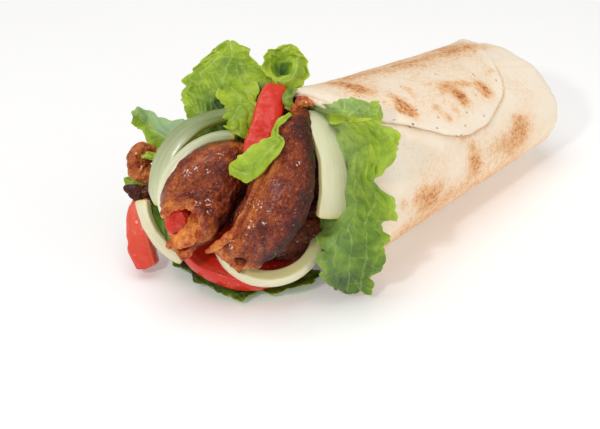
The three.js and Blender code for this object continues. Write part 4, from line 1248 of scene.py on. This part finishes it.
def leaf_veins(a, along, across, width, seed):
    """How much of a vein each place on a leaf is, 0 to 1, and how high it stands between the
    veins: some fan out from the rib, and a fine net of them runs between cells that swell."""
    place = on_plane(along, across)
    fans = np.clip(width / 6, 0.4, 2.2)
    fan = a * fans + 0.7 * rough(place, 14, seed + 6) + 0.12 * rough(place, 4, seed + 7)
    veins = bell((fan - np.round(fan)) * width / fans, 0.28) * (1 - 0.5 * np.abs(a))
    cells = cell_edges(along * 0.75 - 0.5 * np.abs(across), across, 4.6, seed + 8)
    net = bell(cells, 0.26) * (0.6 + 0.6 * rough(place, 7, seed + 12))
    vein = np.clip(0.65 * veins + 0.65 * net, 0, 1)
    return vein, 0.42 * smooth(cells / 2.4) * (1 + rough(place, 6, seed + 9)) - 0.18 * vein


def leaf(
    left, rib, right, frills, frill, wave, rows, columns, lobe, seed, tone, cool=0, shaded_dent=None
):
    """A leaf over shares u from base to tip and a from -1 to 1 across it: rib(u) (1 - a^2) +
    left(u) a (a - 1) / 2 + right(u) a (a + 1) / 2. Along its normal it waves, ruffles as
    |a|^2.5 sin(2 pi n u), swells between the veins and dips at them; in its plane the margin
    and both ends are lobed. Frills is the ruffles' number n; frill, wave and lobe are heights.
    Tone holds how light its base and its tip are, partly as painted shade, and cool says how bluish
    its left is. A shaded_dent (x, y, radius, depth) sinks it and darkens its colour there as painted
    shade."""
    u = np.linspace(0, 1, rows)[:, None]
    a = np.sin(np.linspace(-math.pi / 2, math.pi / 2, columns))[None]
    t = u + 0 * a
    flat = curve(rib, t) * (1 - a * a)[..., None] + curve(left, t) * (a * (a - 1) / 2)[..., None]
    flat = flat + curve(right, t) * (a * (a + 1) / 2)[..., None]
    normal = normals(flat)
    edge = np.abs(a)
    length = np.linalg.norm(np.diff(curve(rib, np.linspace(0, 1, 60)), axis=0), axis=1).sum()
    width = np.linalg.norm(curve(right, t) - curve(left, t), axis=-1) / 2
    along, across = t * length, a * width
    side = np.sign(a) + 0 * t
    margin = along + 70 * side
    scallops = lobe * (lobes(margin, 10, seed) + 0.35 * lobes(margin, 4, seed + 1))
    scallops = scallops + 0.12 * wobble(margin, 1.4, seed + 2)
    sideways = unit(np.gradient(flat, axis=1)) * side[..., None]
    shape = flat + sideways * (scallops * edge**4)[..., None]
    ends = smooth((u - 0.86) / 0.14) - smooth((0.14 - u) / 0.14)
    tips = lobe * (lobes(across + 40, 9, seed + 3) + 0.35 * lobes(across + 40, 3.4, seed + 4))
    shape = shape + unit(np.gradient(flat, axis=0)) * (ends * tips)[..., None]
    ruffle = frill * edge**2.5 * np.sin(2 * math.pi * frills * u + np.where(a > 0, 1.1, 0))
    ruffle = ruffle + 0.9 * frill * edge**4 * wobble(margin, 4.2, seed + 5)
    place = on_plane(along, across)
    vein, quilt = leaf_veins(a, along, across, width, seed)
    height = ruffle + wave * lumps(flat, 3.5) + quilt + rough(place, 8, seed + 11)
    height = height + 0.42 * rough(place, 3.4, seed + 13) + 0.16 * rough(place, 1.6, seed + 14)
    shade = 0 * t
    if shaded_dent:
        x, y, radius, depth = shaded_dent
        shade = bell(np.hypot(flat[..., 0] - x, flat[..., 1] - y), radius)
        toward_viewer = np.sign(normal[..., 2].mean())
        height = height - depth * shade * toward_viewer
    shape = shape + normal * height[..., None]
    final = normals(shape)
    half = mix(LEAF_THICKNESS, MARGIN_THICKNESS, edge**3)[..., None] / 2
    light = mix(tone[0], tone[1], u) + 0.3 * edge**3 + 0.22 * rough(place, 9, seed + 10)
    # Painted shade: the dent darkens the tone.
    light = light + 0.16 * rough(place, 3.4, seed + 13) - 0.8 * shade
    back = np.minimum(cool * smooth(0.5 - a) * (1.2 - u), 1)
    marks = {"vein": vein, "tone": np.clip(light, 0, 1), "cool": back}
    return slab(shape + final * half, shape - final * half, marks)


def lettuce_leaf(wire):
    """Deep to yellow green by the leaf's tone, which also carries painted shade, paler on the veins,
    bluish where marked.
    """
    patch = wire.grain(7, 4, 0.6)
    fine = wire.grain(1.0, 3, 0.6)
    light = wire.mark("tone") * 0.8 + patch * 0.34 + fine * 0.2 - 0.16
    colour = light.ramp(
        (0.08, dye(46, 78, 18)), (0.32, dye(96, 132, 26)), (0.6, dye(150, 178, 34)),
        (0.95, dye(186, 204, 58)),
    )
    colour = (wire.mark("cool") * 0.75).blend(colour, dye(160, 190, 148))
    colour = (wire.mark("vein") * 0.5).blend(colour, dye(210, 224, 136))
    bumps = (fine + wire.grain(2.6, 2)).relief(0.3, 0.7)
    return {"Base Color": colour, "Roughness": 0.38 + 0.2 * patch, "Normal": bumps}


lettuce_finish = new_finish(
    "frilly_lettuce", lettuce_leaf,
    Subsurface_Weight=0.35, Subsurface_Radius=(0.8, 1, 0.25), Subsurface_Scale=0.001,
    Specular_IOR_Level=0.4,
)

# Each leaf: its CAD node and its sizes. Low tones darken the leaves that lie deep in the heap or
# under it, as painted shade.
LEAVES = {
    "back_leaf": ("lettuce_back", dict(
        left=[
            [-18, 8, -17], [-17, 27, -15], [-21, 38, -18], [-20, 47, -21], [-14, 53, -23],
            [-9, 59, -25],
        ],
        rib=[[-4, 8, -16], [-3, 25, -13], [-3, 38, -15], [-5, 48, -20], [-5, 55, -24], [-4, 61, -27]],
        right=[
            [10, 14, -14], [14, 28, -14], [18, 41, -15], [15, 47, -18], [8, 52.5, -21],
            [3, 60, -25],
        ],
        frills=5, frill=1.4, wave=0.8, rows=190, columns=150, lobe=2.2, seed=300,
        tone=(0.3, 0.6), shaded_dent=(-6.5, 35, 4.5, 2),
    )),
    "back_fold": ("lettuce_back", dict(
        left=[[-7.5, 41, -15.5], [-5.5, 36, -9], [-4, 30.5, -4.5], [-3.5, 26.5, -3]],
        rib=[[-1, 43, -16.5], [0, 37.5, -8], [1, 31, -2.5], [0.5, 24.5, -1]],
        right=[[8, 44, -16.5], [8, 38, -8.5], [7, 30, -4], [5, 22, -2]],
        frills=2, frill=0.8, wave=0.4, rows=100, columns=80, lobe=1.6, seed=310,
        tone=(0.55, 0.55),
    )),
    "curled_leaf": ("lettuce_curl", dict(
        left=[[15, 40, -10], [14, 45, -8], [10, 50, -10], [12, 56, -16], [16, 59, -22]],
        rib=[[18, 40, -12], [18, 45, -9], [17, 52, -22], [18, 56, -24], [20, 60, -24]],
        right=[[21, 40, -12], [26, 45, -13], [27, 49, -15], [26, 54, -18], [23, 59, -23]],
        frills=3, frill=0.3, wave=0.2, rows=110, columns=90, lobe=0.4, seed=320,
        tone=(0.62, 0.7), shaded_dent=(17.3, 50.5, 2.8, 3),
    )),
    "curl_lip": ("lettuce_curl", dict(
        left=[
            [12.8, 47.5, -9.5], [16.5, 46.3, -8], [19.6, 47.6, -8.5], [21.2, 50.5, -10.5],
            [21.6, 53, -14],
        ],
        rib=[
            [13, 46, -9], [16.7, 44.4, -7.8], [21, 45.8, -8.3], [23.3, 49.8, -10.8],
            [23.4, 53, -14.2],
        ],
        right=[
            [13.5, 44.5, -10.5], [17, 42.5, -9.5], [22.5, 44, -10.5], [25.5, 49, -13],
            [25, 53, -16.5],
        ],
        frills=2, frill=0.3, wave=0.2, rows=80, columns=60, lobe=0.4, seed=330,
        tone=(0.6, 0.6),
    )),
    "far_leaf": ("lettuce_far", dict(
        left=[[-15, 29, -14], [-22, 31, -17], [-30, 31.5, -21], [-37, 36, -24], [-40, 35, -26]],
        rib=[[-16, 22, -14], [-24, 24, -17], [-31, 27, -21], [-36, 32, -25], [-40, 33, -26]],
        right=[[-20, 14, -16], [-28, 15, -18], [-34, 22, -22], [-38, 28, -25], [-40, 29, -26]],
        frills=3, frill=1, wave=0.5, rows=110, columns=80, lobe=1.2, seed=340,
        tone=(0.3, 0.5), cool=1.6,
    )),
    "shoulder_leaf": ("lettuce_shoulder", dict(
        left=[[26, 35, -4], [36, 35.5, 8], [43, 37, 10], [53.5, 35.5, 9]],
        rib=[[29, 33.5, -5], [40, 31.5, 12], [47, 30.5, 13.5], [53.5, 30, 12.5]],
        right=[[32, 30, -6], [40, 27, 12.5], [47, 25, 14.5], [52, 23.5, 14]],
        frills=3, frill=1, wave=0.5, rows=110, columns=80, lobe=1.4, seed=360,
        tone=(0.55, 0.5), cool=0.6,
    )),
    "right_leaf": ("lettuce_right", dict(
        left=[
            [30, 34, -8], [32, 27, -8], [33, 19, -9], [34, 8, -9], [33, -2, -6], [31, -10, 0],
            [31, -16, 9], [31, -24, 8], [36, -33, -4],
        ],
        rib=[
            [38, 31, 6], [42, 27, 13], [45, 19, 15], [44, 8, 14.5], [44, -2, 13.5], [43, -10, 15],
            [43, -18, 13], [42, -26, 7], [42, -34, -4],
        ],
        right=[
            [44, 30, 16], [54, 27, 20], [60, 19, 23], [52, 8, 19], [59, -3, 17], [54, -11, 12],
            [56, -18, 9], [52, -25, 4], [50, -33, -5],
        ],
        frills=6, frill=1.3, wave=0.8, rows=260, columns=150, lobe=2.8, seed=380,
        tone=(0.64, 0.08), cool=0.42,
    )),
    "shred": ("lettuce_shred", dict(
        left=[
            [20.2, 32, 9.5], [15.4, 28, 14], [14.2, 24.6, 18.5], [13, 22, 21], [8.5, 19.6, 22.5],
            [4, 16, 23.5], [-1, 13, 22],
        ],
        rib=[
            [20.6, 31.2, 9.5], [16.2, 27.3, 14.7], [15.2, 23.8, 19.3], [15.8, 20.8, 22.5],
            [11, 16, 25.5], [5, 11, 25], [-1, 11, 22],
        ],
        right=[
            [21, 30.4, 10], [17.1, 26.8, 15.3], [16.2, 23.2, 20], [18.9, 20, 23.5], [13.5, 13, 26],
            [6, 6, 24.5], [0, 9, 21],
        ],
        frills=4, frill=0.4, wave=0.2, rows=150, columns=70, lobe=0.7, seed=400,
        tone=(0.6, 0.6),
    )),
    "under_leaf": ("lettuce_under", dict(
        left=[
            [-18, -18, -26], [-12, -23.5, -22], [-6, -26.5, -20], [1, -27.5, -19],
            [10, -27.5, -19], [18, -25.5, -20], [29, -24, -22],
        ],
        rib=[
            [-22, -20, -24], [-16, -26.5, -18], [-9, -30.5, -15], [0, -32.5, -12],
            [9, -32.5, -12], [19, -30.5, -14], [30, -27.5, -18],
        ],
        right=[
            [-26, -21, -19], [-18.5, -27, -12], [-11, -32, -8], [-1, -36, -3], [8, -35.5, -4],
            [19, -33.5, -6.5], [31, -30, -11],
        ],
        frills=4, frill=0.7, wave=0.3, rows=190, columns=60, lobe=4.6, seed=420,
        tone=(0, 0.3),
    )),
    "low_leaf": ("lettuce_low_left", dict(
        left=[[-32, -1, -16], [-31, -10, -16], [-27, -19, -16], [-23, -24, -18]],
        rib=[[-30, -1, -12], [-28, -10, -11], [-25, -18, -11], [-22, -23, -15]],
        right=[[-27, -1, -8], [-24.5, -10, -6], [-22.5, -17, -6], [-20, -22, -12]],
        frills=2, frill=0.6, wave=0.4, rows=80, columns=50, lobe=1.0, seed=440,
        tone=(0.12, 0.12),
    )),
    "left_bit": ("lettuce_bit_left", dict(
        left=[[-43, 9, -21], [-38, 9.5, -21], [-32, 12, -22]],
        rib=[[-43, 7, -21], [-37, 7.5, -21], [-32, 10, -22]],
        right=[[-42, 5, -21], [-36, 5, -21], [-31, 8, -22]],
        frills=2, frill=0.4, wave=0.3, rows=50, columns=40, lobe=0.7, seed=460,
        tone=(0.6, 0.5),
    )),
    "scrap_bit": (None, dict(
        left=[[-36, 18, -14.5], [-33, 18.5, -14.5], [-30, 17.5, -16]],
        rib=[[-36, 16.8, -14], [-33, 16.8, -13.6], [-30, 16.4, -15.5]],
        right=[[-35.5, 15.6, -14], [-33, 15.2, -13.8], [-30, 15.4, -15.5]],
        frills=2, frill=0.3, wave=0.2, rows=40, columns=30, lobe=0.6, seed=470,
        tone=(0.55, 0.5),
    )),
    "top_bit": ("lettuce_bit_top", dict(
        left=[[19, 42, -5], [18, 38, 1], [18.5, 34, 2]],
        rib=[[21, 41.5, -4], [19.5, 37, 2], [19.5, 33.5, 2]],
        right=[[23, 41, -5], [21, 36, 1], [20.5, 33, 2]],
        frills=2, frill=0.3, wave=0.2, rows=50, columns=40, lobe=0.6, seed=480,
        tone=(0.35, 0.3),
    )),
}
for name, (node, sizes) in LEAVES.items():
    make_piece(name, leaf(**sizes), lettuce_finish, node)
